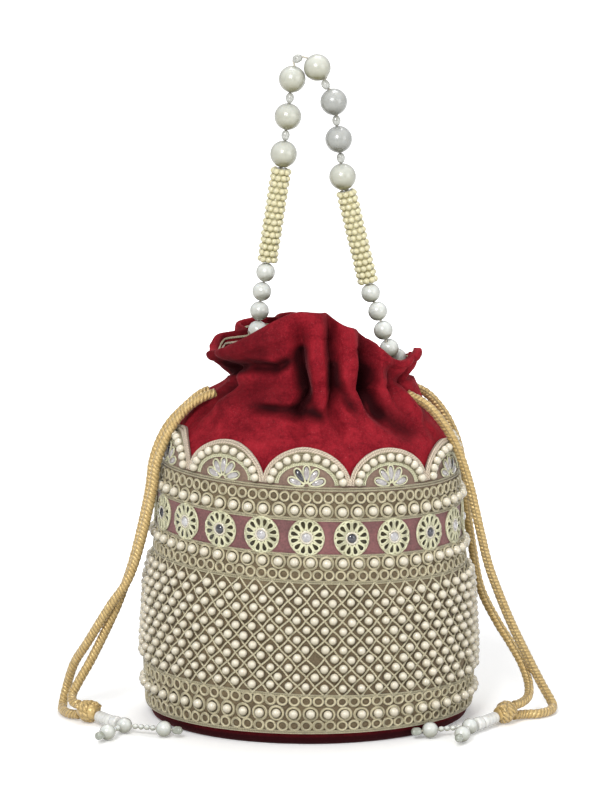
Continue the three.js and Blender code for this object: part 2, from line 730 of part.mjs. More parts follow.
// Routes of the rope drawstrings, from the slits in the neck down to the backs of the knots
const ROPE_ROUTES = {
  left_front: [
    [-48.4, -15.2, 173.9], [-54, -16.5, 172], [-61.6, -17.8, 167.5], [-70.4, -20, 157.7],
    [-75.6, -21, 147.3], [-79, -21.7, 136.9], [-80.5, -21.7, 126.2], [-85, -21, 105],
    [-91, -20, 83.5], [-95.6, -18.5, 72.7], [-103, -15, 61.5], [-116.2, -7, 38.5], [-123, -1, 26.5],
    [-127.6, 4, 11.5], [-129.5, 1, 3], [-129, -7, 2.7], [-125.5, -15.5, 2.9], [-120, -20.4, 3.5],
  ],
  left_back: [
    [-52.1, -6.3, 173.5], [-56.7, -9.3, 171.7], [-62.8, -12, 167], [-72.2, -14.2, 157.6],
    [-78, -15.2, 147.1], [-81.2, -15.8, 136.6], [-82.6, -15.8, 125], [-86.8, -15.3, 104],
    [-92.2, -14, 82.5], [-95.8, -12.6, 71.6], [-100, -11, 60], [-110, -7.5, 37.8], [-115.5, -7.5, 27],
    [-120.5, -9, 18.5], [-124, -13, 11.5], [-122.7, -18, 9.2], [-120, -20.4, 8.9],
  ],
  right_front: [
    [50.6, -14, 172.9], [61.3, -17.2, 167.3], [69.7, -19, 157.7], [75.9, -20.5, 147.4],
    [79.9, -21, 136.9], [83.2, -21, 126.2], [88.1, -19, 104.6], [93.3, -14.5, 82.8], [97, -12, 71.8],
    [105.6, -6.5, 49.7], [116, -1.5, 27.2], [122.5, 1.5, 14], [128, 0, 3.8], [126.5, -8, 2.7],
    [120, -15, 2.7], [112.5, -17.6, 3], [106.7, -22, 3.5],
  ],
  right_back: [
    [50.6, 14.3, 172.9], [61.5, 17.2, 167.2], [70, 19, 157.5], [75.5, 21, 147], [79, 23, 136],
    [81, 25, 122], [83, 26, 104], [86, 25, 84], [90.5, 19, 62], [99.3, 12, 45.3], [105.8, 8, 35.5],
    [112, 3, 25], [115.2, -4, 16], [114.5, -12, 11], [110.5, -18.4, 9.2], [106.7, -22, 8.9],
  ],
};
// The body's depth that these routes lie beside; a deeper body moves their lower ends forward
const ROUTED_DEPTH = 144;
// Knots on the ground: the middle of each, and the way its tassel leaves, in degrees from +X
const KNOTS = { left: [-115, -24, -35], right: [102, -26, -140] };
// Headings on the ground of each tassel's beads; a long and a short branch leave its round pearl
const TASSEL_HEADINGS = {
  left: { tube: -55, barrel: -50, pearl: -50, long: -20, short: -120 },
  right: { tube: -125, barrel: -130, pearl: -130, long: -160, short: -105 },
};

function heading(degrees) {
  return new THREE.Vector3(Math.cos(degrees * DEGREE), Math.sin(degrees * DEGREE), 0);
}

// A point of a route, kept clear of the body's front when its depth changes.
function beside(x, y, z) {
  const forward = ((BODY_DEPTH - ROUTED_DEPTH) / 2) * (1 - z / NECK_Z);
  return new THREE.Vector3(x, y - forward, z);
}

Object.entries(ROPE_ROUTES).forEach(([name, points]) => {
  const route = new THREE.CatmullRomCurve3(points.map((point) => beside(...point)));
  add(`drawstring_${name}`, drawnAlong(route, ROPE_WIDTH, 8, ROPE_STEPS), rope);
});

// A bead laid beyond the last one on the same string, clear of its end where the string bends.
function laid(last, degrees, length, end) {
  const bend = Math.abs(degrees - last.degrees) * DEGREE;
  const gap = (CLEARANCE + Math.max(last.end, end) * Math.sin(bend)) / Math.cos(bend);
  const at = last.at.clone().addScaledVector(heading(last.degrees), last.half);
  at.addScaledVector(heading(degrees), gap + length / 2);
  return { at, degrees, half: length / 2, end };
}

function tassel(side) {
  const [x, y, degrees] = KNOTS[side];
  const headings = TASSEL_HEADINGS[side];
  const height = TASSEL_PEARL / 2 + FLOOR_GAP;
  const put = (name, geometry, material, { at, degrees: way }) => {
    add(`${side}_${name}`, geometry, material, at, heading(way));
  };
  const knotMiddle = beside(x, y, KNOT_WIDTH / 2 + FLOOR_GAP);
  const knot = { at: knotMiddle, degrees, half: KNOT_LENGTH / 2, end: 0 };
  put('rope_knot', turned(knotProfile(), 8), rope, knot);
  const start = { ...knot, at: knotMiddle.clone().setZ(height) };
  const tube = laid(start, headings.tube, TUBE_BEAD_LENGTH, TUBE_BEAD_WIDTH / 2 - BEAD_EASE);
  put('tube_bead', turned(capsuleProfile(TUBE_BEAD_WIDTH, TUBE_BEAD_LENGTH), 7), glass, tube);
  const barrel = laid(tube, headings.barrel, BARREL_LENGTH, BARREL_WIDTH / 2 - BEAD_EASE);
  put('barrel_bead', turned(capsuleProfile(BARREL_WIDTH, BARREL_LENGTH), 7), glass, barrel);
  const round = laid(barrel, headings.pearl, TASSEL_PEARL, 0);
  const ball = turned(ballProfile(TASSEL_PEARL / 2, 0, 4), 7);
  put('round_pearl', ball, pearl, round);
  [['long', LONG_STRAND], ['short', SHORT_STRAND]].forEach(([branch, length]) => {
    const way = headings[branch];
    const strand = laid({ ...round, degrees: way }, way, length, 0);
    const seeds = Math.round(length / SEED_WIDTH);
    const profile = ringedProfile(SEED_WIDTH, length, seeds, SEED_GROOVE, 0);
    put(`${branch}_seed_strand`, turned(profile, 5), seedPearl, strand);
    const drop = laid(strand, way, TASSEL_PEARL, 0);
    put(`${branch}_drop_pearl`, ball.clone(), pearl, drop);
    const end = laid(drop, way, END_BEAD_LENGTH, 0);
    put(`${branch}_end_bead`, turned(capsuleProfile(END_BEAD_WIDTH, END_BEAD_LENGTH), 6), glass, end);
  });
}

tassel('left');
tassel('right');

add('velvet_pouch', velvetPouch(), velvet);
add('base_board', baseBoard(), board);
add('lining_bag', liningBag(), satin);
add('embroidered_sleeve', embroideredSleeve(), embroidery);
add('handle_tab_left', sewnTab(-1), velvet);
add('handle_tab_right', sewnTab(1), velvet);

export default potli;
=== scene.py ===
import math
import random

import bpy
import numpy as np
from mathutils import Matrix, Vector, noise


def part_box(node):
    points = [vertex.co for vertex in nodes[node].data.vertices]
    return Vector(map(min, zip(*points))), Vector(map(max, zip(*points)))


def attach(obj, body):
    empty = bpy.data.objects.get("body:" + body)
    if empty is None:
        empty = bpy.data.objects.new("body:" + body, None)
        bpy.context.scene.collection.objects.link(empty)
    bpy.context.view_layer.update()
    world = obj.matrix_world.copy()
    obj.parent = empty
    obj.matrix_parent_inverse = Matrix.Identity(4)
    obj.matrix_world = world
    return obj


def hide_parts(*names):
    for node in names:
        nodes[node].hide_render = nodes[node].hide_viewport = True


# A potli bag: a gathered velvet pouch in a pearl-worked sleeve, with a strung handle and two tasselled
# rope drawstrings. The tables are in millimetres and degrees, as the bag was measured; meshes are in metres.

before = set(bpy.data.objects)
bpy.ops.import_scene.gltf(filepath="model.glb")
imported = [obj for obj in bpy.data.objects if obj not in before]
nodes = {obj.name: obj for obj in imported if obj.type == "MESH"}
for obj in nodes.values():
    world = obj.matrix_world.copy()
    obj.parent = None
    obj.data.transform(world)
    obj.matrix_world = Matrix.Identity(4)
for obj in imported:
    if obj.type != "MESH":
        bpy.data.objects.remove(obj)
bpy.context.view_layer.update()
random.seed(7)

mm = 0.001
turn = 2 * math.pi


# Shape of the bag
body = {
    "width": 169, "depth": 144, "baseRound": 4, "wall": 2.6,
    "neckWidth": 96, "neckDepth": 77, "neckShift": 6, "shoulderZ": 135.84, "shoulderRise": 43,
    "rimWidth": 107, "rimDepth": 68, "rimShift": 3.5, "foldStart": 12, "shiftStart": 0.72, "flare": 0.8,
    "baseShape": [(0, 1.3), (0.3, 0.625), (1, 0.325)],
    "bellyShape": [(0.09, 0.9), (0.27, 0), (0.43, 1.2), (0.54, 2), (0.62, 4.4), (0.7, 5.8), (0.91, 7.5),
                   (1, 9)],
    "shoulderShape": [(0, 0), (0.28, 0.07), (0.41, 0.18), (0.53, 0.35), (0.65, 0.53), (0.78, 0.73),
                      (0.9, 0.91), (1, 1)],
    "rimSoft": (-5, -2.5, 0, 2.5, 5),
    "rimHeights": [(-135, 26), (-110, 20), (-90, 15), (-65, 17.5), (-47, 22.5), (-28, 33), (-15, 39.5),
                   (7, 39.5), (14, 33.5), (24, 31.5), (35, 23.5), (44, 16), (56, 12.5), (74, 15.5), (90, 16),
                   (112, 10), (135, 9), (150, 14), (165, 22), (180, 28)],
}
# Each crease of the gathers: its angle at the neck, half width, depth, how far it turns on the shoulder,
# and the share of its depth left at the rim
gathers = [(-152, 8, 9, -6, 0.75), (-122, 8, 12, 5, 0.75), (-63, 9, 4, -8, 0.6), (-10, 6, 12, 9, 0.15),
           (8, 5, 10, 12, 0.9), (29, 8, 14, 22, 0.6), (48, 7, 4, 20, 0.2), (67, 7, 3, 12, 0.15),
           (113, 8, 10, -6, 0.5), (138, 7, 9, 4, 0.6), (160, 8, 12, -3, 0.75), (184, 8, 10, 5, 0.75)]
rimGatherWidth = 1.25
neckZ = body["shoulderZ"] + body["shoulderRise"]


def eased(share):
    t = np.clip(share, 0, 1)
    return t * t * (3 - 2 * t)


def mix(a, b, share):
    return a + (b - a) * share


def smoothLine(pairs, places):    # a smooth line through (place, value) pairs, level beyond its ends
    x = np.array([p[0] for p in pairs], float)
    y = np.array([p[1] for p in pairs], float)
    at = np.clip(np.asarray(places, float), x[0], x[-1])
    last = len(x) - 1
    slope = np.array([(y[min(k + 1, last)] - y[max(k - 1, 0)]) / (x[min(k + 1, last)] - x[max(k - 1, 0)])
                      for k in range(last + 1)])
    i = np.clip(np.searchsorted(x, at, side="right") - 1, 0, last - 1)
    span = x[i + 1] - x[i]
    t = (at - x[i]) / span
    rise = y[i + 1] - y[i]
    leave = slope[i] * span
    arrive = slope[i + 1] * span
    return y[i] + t * leave + t ** 2 * (3 * rise - 2 * leave - arrive) + t ** 3 * (leave + arrive - 2 * rise)


def velvetHalf(z):    # half the velvet's width at a height, without its gathers
    widest = body["width"] / 2
    rounding = body["baseRound"]
    low = [(share * rounding, widest - inset * rounding) for share, inset in body["baseShape"]]
    low += [(share * body["shoulderZ"], widest - inset) for share, inset in body["bellyShape"]]
    closed = smoothLine(body["shoulderShape"], (z - body["shoulderZ"]) / body["shoulderRise"])
    shoulder = mix(low[-1][1], body["neckWidth"] / 2, closed)
    return np.where(z <= body["shoulderZ"], smoothLine(low, z), shoulder)


def rimHeight(degrees):
    pairs = [(a + t, h) for t in (-360, 0, 360) for a, h in body["rimHeights"]]
    return np.mean([smoothLine(pairs, degrees + k) for k in body["rimSoft"]], axis=0)


def gatherDepth(degrees, z, open):
    start = body["shoulderZ"] + body["foldStart"]
    strength = eased((z - start) / (neckZ - start))
    faded = np.clip((neckZ - z) / (neckZ - start), 0, 1)
    total = np.zeros(np.broadcast(degrees, z, open).shape)
    for angle, half, depth, turned, left in gathers:
        away = np.abs((degrees - angle - turned * faded + 180) % 360 - 180)
        wide = half * mix(1, rimGatherWidth, open)
        total = total + depth * strength * mix(1, left, open) * (1 - eased(away / wide))
    return total


def bodyPoint(theta, z, off):
    half = velvetHalf(z)
    closing = (z - body["shoulderZ"]) / body["shoulderRise"]
    flat = mix(body["depth"] / body["width"], body["neckDepth"] / body["neckWidth"], eased(closing))
    reach = off - gatherDepth(np.degrees(theta), z, 0)
    shift = body["neckShift"] * eased((closing - body["shiftStart"]) / (1 - body["shiftStart"]))
    return np.stack([shift + (half + reach) * np.sin(theta), -(half * flat + reach) * np.cos(theta),
                     z + 0 * theta], -1)


def frillPoint(theta, share, off):
    spread = share ** body["flare"]
    reach = off - gatherDepth(np.degrees(theta), neckZ, share)
    across = mix(body["neckWidth"], body["rimWidth"], spread) / 2
    deep = mix(body["neckDepth"], body["rimDepth"], spread) / 2
    return np.stack([mix(body["neckShift"], body["rimShift"], spread) + (across + reach) * np.sin(theta),
                     -(deep + reach) * np.cos(theta), neckZ + share * rimHeight(np.degrees(theta))], -1)


# Making meshes
def makePiece(name, shape, material, slot, node=None, rides="pouch", faceSlots=None, **attributes):
    points, faces = shape
    mesh = bpy.data.meshes.new(name)
    mesh.from_pydata((np.asarray(points, float) * mm).tolist(), [], [tuple(int(i) for i in f) for f in faces])
    for one in material if isinstance(material, list) else [material]:
        mesh.materials.append(one)
    if faceSlots is not None:
        mesh.polygons.foreach_set("material_index", np.asarray(faceSlots, np.int32))
    for key, values in attributes.items():
        values = np.asarray(values, np.float32)
        kind, field = ("FLOAT", "value") if values.ndim == 1 else ("FLOAT_VECTOR", "vector")
        mesh.attributes.new(key, kind, "POINT").data.foreach_set(field, values.ravel())
    mesh.shade_smooth()
    mesh.update()
    piece = bpy.data.objects.new(name, mesh)
    bpy.context.scene.collection.objects.link(piece)
    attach(piece, rides)
    if node:
        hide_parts(node)
    return piece


def gridFaces(rows, columns, closed=False):    # rounds of a grid; closed, the last round meets the first
    k = np.arange(rows if closed else rows - 1)[:, None]
    i = np.arange(columns)[None, :]
    a = k * columns + i
    b = k * columns + (i + 1) % columns
    up = ((k + 1) % rows) * columns
    return np.stack([a, b, up + (i + 1) % columns, up + i], -1).reshape(-1, 4)


def capped(points, rows, columns, low, high):    # the faces of a grid whose two ends close to a point each
    faces = gridFaces(rows, columns).tolist()
    first, second, last = len(points), len(points) + 1, (rows - 1) * columns
    faces += [(first, (i + 1) % columns, i) for i in range(columns)]
    faces += [(second, last + i, last + (i + 1) % columns) for i in range(columns)]
    return np.vstack([points, [low, high]]), faces


def outwardOf(theta):    # the level way out from the bag's middle
    return np.stack([np.sin(theta), -np.cos(theta), 0 * theta], -1)


def moved(shape, at, size=1.0):
    return shape[0] * size + at, shape[1]


def joined(parts):    # one mesh from several (points, faces) pairs
    points, faces, start = [], [], 0
    for p, f in parts:
        points.append(np.asarray(p, float))
        faces.extend((np.asarray(f) + start).tolist() if isinstance(f, np.ndarray) else
                     [[i + start for i in face] for face in f])
        start += len(p)
    return np.concatenate(points), faces


def ball(radius, across, up, stretch=1.0):    # a round bead about Z
    lift = math.pi * (np.arange(1, up) / up - 0.5)
    angle = turn * np.arange(across) / across
    ring = radius * np.cos(lift)[:, None]
    points = np.stack([ring * np.cos(angle), ring * np.sin(angle),
                       radius * stretch * np.sin(lift)[:, None] + 0 * angle], -1).reshape(-1, 3)
    return capped(points, up - 1, across, (0, 0, -radius * stretch), (0, 0, radius * stretch))


def hoop(radius, width, steps, sides):    # a ring of cord lying flat
    a = turn * np.arange(steps)[:, None] / steps
    b = turn * np.arange(sides)[None, :] / sides
    r = radius + width / 2 * np.cos(b)
    points = np.stack([r * np.cos(a), r * np.sin(a), width / 2 * np.sin(b) + 0 * a], -1).reshape(-1, 3)
    return points, gridFaces(steps, sides, True)[:, ::-1].tolist()


def lathe(profile, segments):    # about Z; a profile off the axis closes on itself
    p = np.array(profile, float)
    a = turn * np.arange(segments) / segments
    points = np.stack([p[:, 0:1] * np.cos(a), p[:, 0:1] * np.sin(a), p[:, 1:2] + 0 * a], -1).reshape(-1, 3)
    return points, gridFaces(len(p), segments, True).tolist()


def placed(shape, at, axis, spin=0.0):    # a shape made about Z, set at a point along an axis
    points, faces = shape
    rotation = Vector(axis).to_track_quat("Z", "Y") @ Matrix.Rotation(spin, 3, "Z").to_quaternion()
    return np.asarray(points) @ np.array(rotation.to_matrix()).T + np.array(at), faces


def frames(path, closed=False):    # a sideways and an upward direction along a path, with the least turning
    ahead = np.roll(path, -1, 0) - np.roll(path, 1, 0) if closed else np.gradient(path, axis=0)
    ahead /= np.linalg.norm(ahead, axis=1)[:, None]
    side = np.cross(ahead[0], (0, 0, 1) if abs(ahead[0][2]) < 0.9 else (0, 1, 0))
    sides = []
    for direction in ahead:
        side = side - direction * side.dot(direction)
        side /= np.linalg.norm(side)
        sides.append(side)
    sides = np.array(sides)
    return ahead, sides, np.cross(ahead, sides)


def tube(path, width, sides, closed=False, shape=1.0):
    path = np.asarray(path, float)
    _, side, up = frames(path, closed)
    b = turn * np.arange(sides)[None, :] / sides
    radius = width / 2 * shape
    across = side[:, None, :] * (radius * np.cos(b))[..., None]
    ring = across + up[:, None, :] * (radius * np.sin(b))[..., None]
    points = (path[:, None, :] + ring).reshape(-1, 3)
    faces = gridFaces(len(path), sides, closed).tolist()
    if not closed:
        last = (len(path) - 1) * sides
        faces += [tuple(range(sides))[::-1], tuple(range(last, last + sides))]
    return points, faces


def runningLength(path):
    return np.concatenate([[0], np.cumsum(np.linalg.norm(np.diff(path, axis=0), axis=1))])


def layOf(path, sides):    # millimetres along a tube and turns around it, for its strands
    around = np.arange(sides) / sides
    return np.stack([np.repeat(runningLength(path), sides), np.tile(around, len(path)),
                     np.zeros(sides * len(path))], -1)


def blend(low, high, at, a, b):    # a at low, b at high
    return (high - at) / (high - low) * a + (at - low) / (high - low) * b


def curveThrough(points, step):    # a centripetal Catmull-Rom line through points, at even steps
    p = np.array(points, float)
    p = np.vstack([2 * p[0] - p[1], p, 2 * p[-1] - p[-2]])
    line = []
    for k in range(len(p) - 3):
        q = p[k:k + 4]
        t = np.concatenate([[0], np.cumsum(np.sqrt(np.linalg.norm(np.diff(q, axis=0), axis=1)))])
        s = np.linspace(t[1], t[2], 24, endpoint=k == len(p) - 4)[:, None]
        a = [blend(t[i], t[i + 1], s, q[i], q[i + 1]) for i in range(3)]
        b = [blend(t[i], t[i + 2], s, a[i], a[i + 1]) for i in range(2)]
        line.append(blend(t[1], t[2], s, b[0], b[1]))
    line = np.vstack(line)
    length = runningLength(line)
    count = max(int(round(length[-1] / step)), 2) + 1
    even = np.linspace(0, length[-1], count)
    return np.stack([np.interp(even, length, line[:, i]) for i in range(3)], -1)


# Shader groups: each puts out a mask, a colour or a normal, and every material has its own values
def newGroup(name, colors, values, outputs):
    group = bpy.data.node_groups.new(name, "ShaderNodeTree")
    for labels, kind in ((colors, "NodeSocketColor"), (values, "NodeSocketFloat")):
        for label in labels:
            group.interface.new_socket(label, in_out="INPUT", socket_type=kind)
    for label, kind in outputs.items():
        group.interface.new_socket(label, in_out="OUTPUT", socket_type=f"NodeSocket{kind}")
    return group, group.nodes.new("NodeGroupInput").outputs, group.nodes.new("NodeGroupOutput").inputs


def addNode(tree, kind, sockets=None, **settings):    # a socket takes a value, or another node's output
    node = tree.nodes.new(f"ShaderNode{kind}")
    for key, value in settings.items():
        setattr(node, key, value)
    for key, value in (sockets or {}).items():
        if isinstance(value, bpy.types.NodeSocket):
            tree.links.new(value, node.inputs[key])
        else:
            node.inputs[key].default_value = value
    return node


def reckon(tree, operation, *values):
    return addNode(tree, "Math", dict(enumerate(values)), operation=operation).outputs[0]


def ranged(tree, value, low, high, start=0.0, end=1.0):    # low to high becomes start to end
    return addNode(tree, "MapRange", {0: value, 1: low, 2: high, 3: start, 4: end}).outputs[0]


def between(tree, share, first, second):    # a number part of the way from one to another
    return addNode(tree, "Mix", {0: share, 2: first, 3: second}).outputs[0]


def blended(tree, share, first, second):    # the same for a colour
    return addNode(tree, "Mix", {0: share, 6: first, 7: second}, data_type="RGBA").outputs[2]


def grain(tree, place, scale, detail, **more):
    return addNode(tree, "TexNoise", {"Vector": place, "Scale": scale, "Detail": detail, **more}).outputs[0]


def bumped(tree, height, distance, strength):
    return addNode(tree, "Bump", {"Height": height, "Distance": distance, "Strength": strength}).outputs[0]


def onObject(tree):
    return addNode(tree, "TexCoord").outputs["Object"]


def feed(tree, sockets, **sources):
    for label, source in sources.items():
        tree.links.new(source, sockets[label.replace("_", " ")])


def makeToneGroup():    # a slow drift between two colours, with finer flecks in it
    group, given, out = newGroup("driftingTone", ["Color", "Other"], ["Size", "Fleck Size", "Fleck"],
                                 {"Color": "Color"})
    place = onObject(group)
    slow = grain(group, place, given["Size"], 3)
    fine = grain(group, place, given["Fleck Size"], 2)
    sharp = ranged(group, between(group, given["Fleck"], slow, fine), 0.35, 0.65)
    feed(group, out, Color=blended(group, sharp, given["Color"], given["Other"]))
    return group


def makePileGroup():    # velvet: tufts leaning in patches, lint, and painted shade in the folds, under the rolls, at the foot and inside the mouth
    group, given, out = newGroup("velvetPile", ["Color", "Deep", "Brushed", "Lint"], ["Fold", "Height"],
                                 {"Color": "Color", "Normal": "Vector"})
    place = onObject(group)
    patch = grain(group, place, 90, 5, Roughness=0.7, Distortion=0.4)
    tuft = grain(group, place, 900, 3, Roughness=0.7)
    lint = grain(group, place, 2200, 1)
    color = blended(group, ranged(group, patch, 0.42, 0.7, 0, 0.6), given["Color"], given["Brushed"])
    color = blended(group, ranged(group, tuft, 0.4, 0.75, 0, 0.42), color, given["Brushed"])
    color = blended(group, ranged(group, lint, 0.66, 0.78, 0, 0.18), color, given["Lint"])
    heights = between(group, 0.5, tuft, grain(group, place, 2600, 1))
    feed(group, out, Color=blended(group, given["Fold"], color, given["Deep"]),
         Normal=bumped(group, heights, given["Height"], 0.5))
    return group


def makeWeaveGroup():    # warp and weft crossing on an upright cloth
    group, given, out = newGroup("crossedWeave", [], ["Scale", "Height"], {"Normal": "Vector"})
    place = onObject(group)
    warp, weft = [addNode(group, "TexWave", {
        "Vector": place, "Scale": given["Scale"], "Distortion": 0.6, "Detail": 1},
        bands_direction=direction).outputs["Fac"] for direction in ("X", "Z")]
    crossed = reckon(group, "MULTIPLY", warp, weft)
    uneven = reckon(group, "MULTIPLY", crossed, grain(group, place, 300, 1))
    feed(group, out, Normal=bumped(group, uneven, given["Height"], 0.6))
    return group


def makeStrandGroup():    # slanted strands round a cord; its lay is in mm along it and in turns around it
    group, given, out = newGroup("cordStrands", [], ["Pitch", "Strands", "Height"],
                                 {"Mask": "Float", "Normal": "Vector"})
    lay = addNode(group, "Attribute", attribute_name="lay").outputs["Vector"]
    parts = addNode(group, "SeparateXYZ", {0: lay}).outputs
    along = reckon(group, "DIVIDE", parts["X"], given["Pitch"])
    slanted = reckon(group, "ADD", along, reckon(group, "MULTIPLY", parts["Y"], given["Strands"]))
    mask = ranged(group, reckon(group, "SINE", reckon(group, "MULTIPLY", slanted, turn)), -1, 1)
    feed(group, out, Mask=mask, Normal=bumped(group, mask, given["Height"], 0.8))
    return group


def makeLustreGroup():    # a pearl's painted light and shade: a painted lit colour on top, a painted shaded colour with a warm painted reflection below, with faint flaws
    group, given, out = newGroup("pearlLustre", ["Above", "Below"], ["Flaw", "Size"],
                                 {"Color": "Color", "Roughness": "Float"})
    upward = addNode(group, "SeparateXYZ", {0: addNode(group, "TexCoord").outputs["Normal"]}).outputs["Z"]
    drift = grain(group, onObject(group), given["Size"], 3)
    side = ranged(group, reckon(group, "MULTIPLY_ADD", drift, given["Flaw"], upward), -0.7, 0.8)
    feed(group, out, Color=blended(group, side, given["Below"], given["Above"]),
         Roughness=ranged(group, drift, 0.3, 0.7, 0.2, 0.36))
    return group


groups = {"tone": makeToneGroup(), "pile": makePileGroup(), "weave": makeWeaveGroup(),
          "strand": makeStrandGroup(), "lustre": makeLustreGroup()}


# Materials
def newMaterial(name, **sockets):
    material = bpy.data.materials.new(name)
    material.use_nodes = True
    shader = material.node_tree.nodes["Principled BSDF"]
    for label, value in sockets.items():
        shader.inputs[label.replace("_", " ")].default_value = value
    return material, material.node_tree, shader.inputs


def useGroup(tree, key, **values):
    sockets = {label.replace("_", " "): value for label, value in values.items()}
    return addNode(tree, "Group", sockets, node_tree=groups[key]).outputs


def shaded(color, share):
    return tuple(share * c for c in color[:3]) + (1,)


def makeVelvet(name, color, deep, brushed):
    material, tree, shader = newMaterial(name, Roughness=0.8, Sheen_Weight=0.16, Sheen_Roughness=0.3,
                                         Sheen_Tint=(1, 0.22, 0.26, 1), Specular_IOR_Level=0.1)
    # painted shade: the mesh's shade attribute blends the velvet toward deep, its painted shade colour
    fold = addNode(tree, "Attribute", attribute_name="fold").outputs["Fac"]
    pile = useGroup(tree, "pile", Color=color, Deep=deep, Brushed=brushed, Lint=(0.7, 0.3, 0.3, 1), Fold=fold,
                    Height=0.0006)
    feed(tree, shader, Base_Color=pile["Color"], Normal=pile["Normal"])
    return material


def makeCloth(name, color, other, scale, height, rough):
    material, tree, shader = newMaterial(name, Roughness=rough, Sheen_Weight=0.3, Sheen_Roughness=0.4,
                                         Specular_IOR_Level=0.3)
    tone = useGroup(tree, "tone", Color=color, Other=other, Size=70, Fleck_Size=900, Fleck=0.55)
    weave = useGroup(tree, "weave", Scale=scale, Height=height)
    feed(tree, shader, Base_Color=tone["Color"], Normal=weave["Normal"])
    return material


def makeThread(name, color, other, pitch, strands, height, rough, metallic):
    material, tree, shader = newMaterial(name, Roughness=rough, Metallic=metallic, Specular_IOR_Level=0.5,
                                         Sheen_Weight=0.2, Sheen_Roughness=0.5)
    strand = useGroup(tree, "strand", Pitch=pitch, Strands=strands, Height=height)
    tone = useGroup(tree, "tone", Color=color, Other=other, Size=300, Fleck_Size=1500, Fleck=0.6)
    # painted shade in the grooves between the strands
    groove = ranged(tree, strand["Mask"], 0.4, 0.0, 0.0, 0.6)
    feed(tree, shader, Base_Color=blended(tree, groove, tone["Color"], shaded(other, 0.45)),
         Normal=strand["Normal"])
    return material


def makePearl(name, above, below, flaw, size, coat=0.5):
    material, tree, shader = newMaterial(
        name, Coat_Weight=coat, Coat_Roughness=0.12, Subsurface_Weight=0.12, Subsurface_Scale=1.0,
        Subsurface_Radius=(0.002, 0.0016, 0.0012), Specular_IOR_Level=0.6, Sheen_Weight=0.15,
        Sheen_Roughness=0.3)
    lustre = useGroup(tree, "lustre", Above=above, Below=below, Flaw=flaw, Size=size)
    # painted shade: the rim, turned away from the camera, is painted darker
    facing = addNode(tree, "LayerWeight", {"Blend": 0.4}).outputs["Facing"]
    edge = ranged(tree, facing, 0.3, 0.95, 0, 0.85)
    feed(tree, shader, Base_Color=blended(tree, edge, lustre["Color"], shaded(below, 0.35)),
         Roughness=lustre["Roughness"])
    return material


def makeStone(name, color, other, transmission, rough):
    material, tree, shader = newMaterial(name, Roughness=rough, Coat_Weight=0.8, Coat_Roughness=0.05,
                                         Transmission_Weight=transmission, IOR=1.5)
    tone = useGroup(tree, "tone", Color=color, Other=other, Size=400, Fleck_Size=1200, Fleck=0.3)
    feed(tree, shader, Base_Color=tone["Color"])
    return material


# the second colour is the velvet's painted shade colour, for its creases, rolls, foot and inside
velvet = makeVelvet("redVelvet", (0.155, 0.0034, 0.0095, 1), (0.022, 0.0006, 0.0018, 1),
                    (0.46, 0.022, 0.036, 1))
lining = makeCloth("creamSatin", (0.62, 0.53, 0.4, 1), (0.5, 0.41, 0.3, 1), 1400, 0.00012, 0.45)
boardCloth = makeCloth("boardCloth", (0.45, 0.37, 0.25, 1), (0.36, 0.29, 0.2, 1), 700, 0.0003, 0.8)
ground = makeCloth("mossSilk", (0.2, 0.15, 0.085, 1), (0.09, 0.066, 0.037, 1), 1100, 0.0002, 0.6)
underRosette = makeCloth("mossThread", (0.075, 0.06, 0.03, 1), (0.04, 0.032, 0.016, 1), 1600, 0.0003, 0.7)
roseGround = makeCloth("roseSilk", (0.25, 0.1, 0.1, 1), (0.13, 0.06, 0.06, 1), 1100, 0.0002, 0.55)
edging = makeCloth("scallopSilk", (0.27, 0.18, 0.13, 1), (0.16, 0.1, 0.08, 1), 1100, 0.0002, 0.55)
zari = makeThread("creamZari", (0.62, 0.555, 0.37, 1), (0.42, 0.37, 0.23, 1), 1.3, 2, 0.00025, 0.42, 0.05)
netThread = makeThread("netThread", (0.74, 0.68, 0.47, 1), (0.56, 0.5, 0.33, 1), 1.6, 2, 0.0002, 0.5, 0.0)
zariPink = makeThread("blushZari", (0.74, 0.63, 0.49, 1), (0.54, 0.44, 0.33, 1), 1.5, 2, 0.00025, 0.45, 0.05)
zariGreen = makeThread("paleZari", (0.74, 0.73, 0.5, 1), (0.55, 0.53, 0.34, 1), 1.3, 2, 0.00025, 0.4, 0.05)
fillThread = makeThread("sageThread", (0.42, 0.38, 0.24, 1), (0.28, 0.24, 0.14, 1), 1.2, 2, 0.0002, 0.6, 0.0)
goldRope = makeThread("goldRope", (0.66, 0.49, 0.22, 1), (0.5, 0.33, 0.11, 1), 2.1, 3, 0.0005, 0.38, 0.3)
beadThread = makeThread("beadThread", (0.68, 0.64, 0.54, 1), (0.55, 0.5, 0.4, 1), 1, 2, 0.0001, 0.6, 0.0)
# each pearl's first colour is its painted lit top, the second its painted shaded underside
bigPearl = makePearl("bigPearl", (0.64, 0.65, 0.58, 1), (0.17, 0.16, 0.07, 1), 0.25, 70, 0.6)
silverPearl = makePearl("silverPearl", (0.48, 0.49, 0.47, 1), (0.12, 0.12, 0.09, 1), 0.25, 70, 0.7)
mediumPearl = makePearl("mediumPearl", (0.74, 0.76, 0.73, 1), (0.26, 0.26, 0.18, 1), 0.2, 110, 0.6)
seedPearl = makePearl("seedPearl", (0.72, 0.67, 0.43, 1), (0.4, 0.36, 0.17, 1), 0.5, 300)
sewnPearl = makePearl("sewnPearl", (0.76, 0.7, 0.56, 1), (0.25, 0.21, 0.12, 1), 0.6, 160, 0.8)
spacerGlass = makeStone("spacerGlass", (0.62, 0.63, 0.59, 1), (0.42, 0.42, 0.38, 1), 0.2, 0.2)
milkBead = makePearl("milkBead", (0.8, 0.8, 0.77, 1), (0.62, 0.62, 0.58, 1), 0.4, 150, 0.7)
tipGlass = makeStone("tipGlass", (0.52, 0.55, 0.48, 1), (0.36, 0.38, 0.31, 1), 0.3, 0.2)
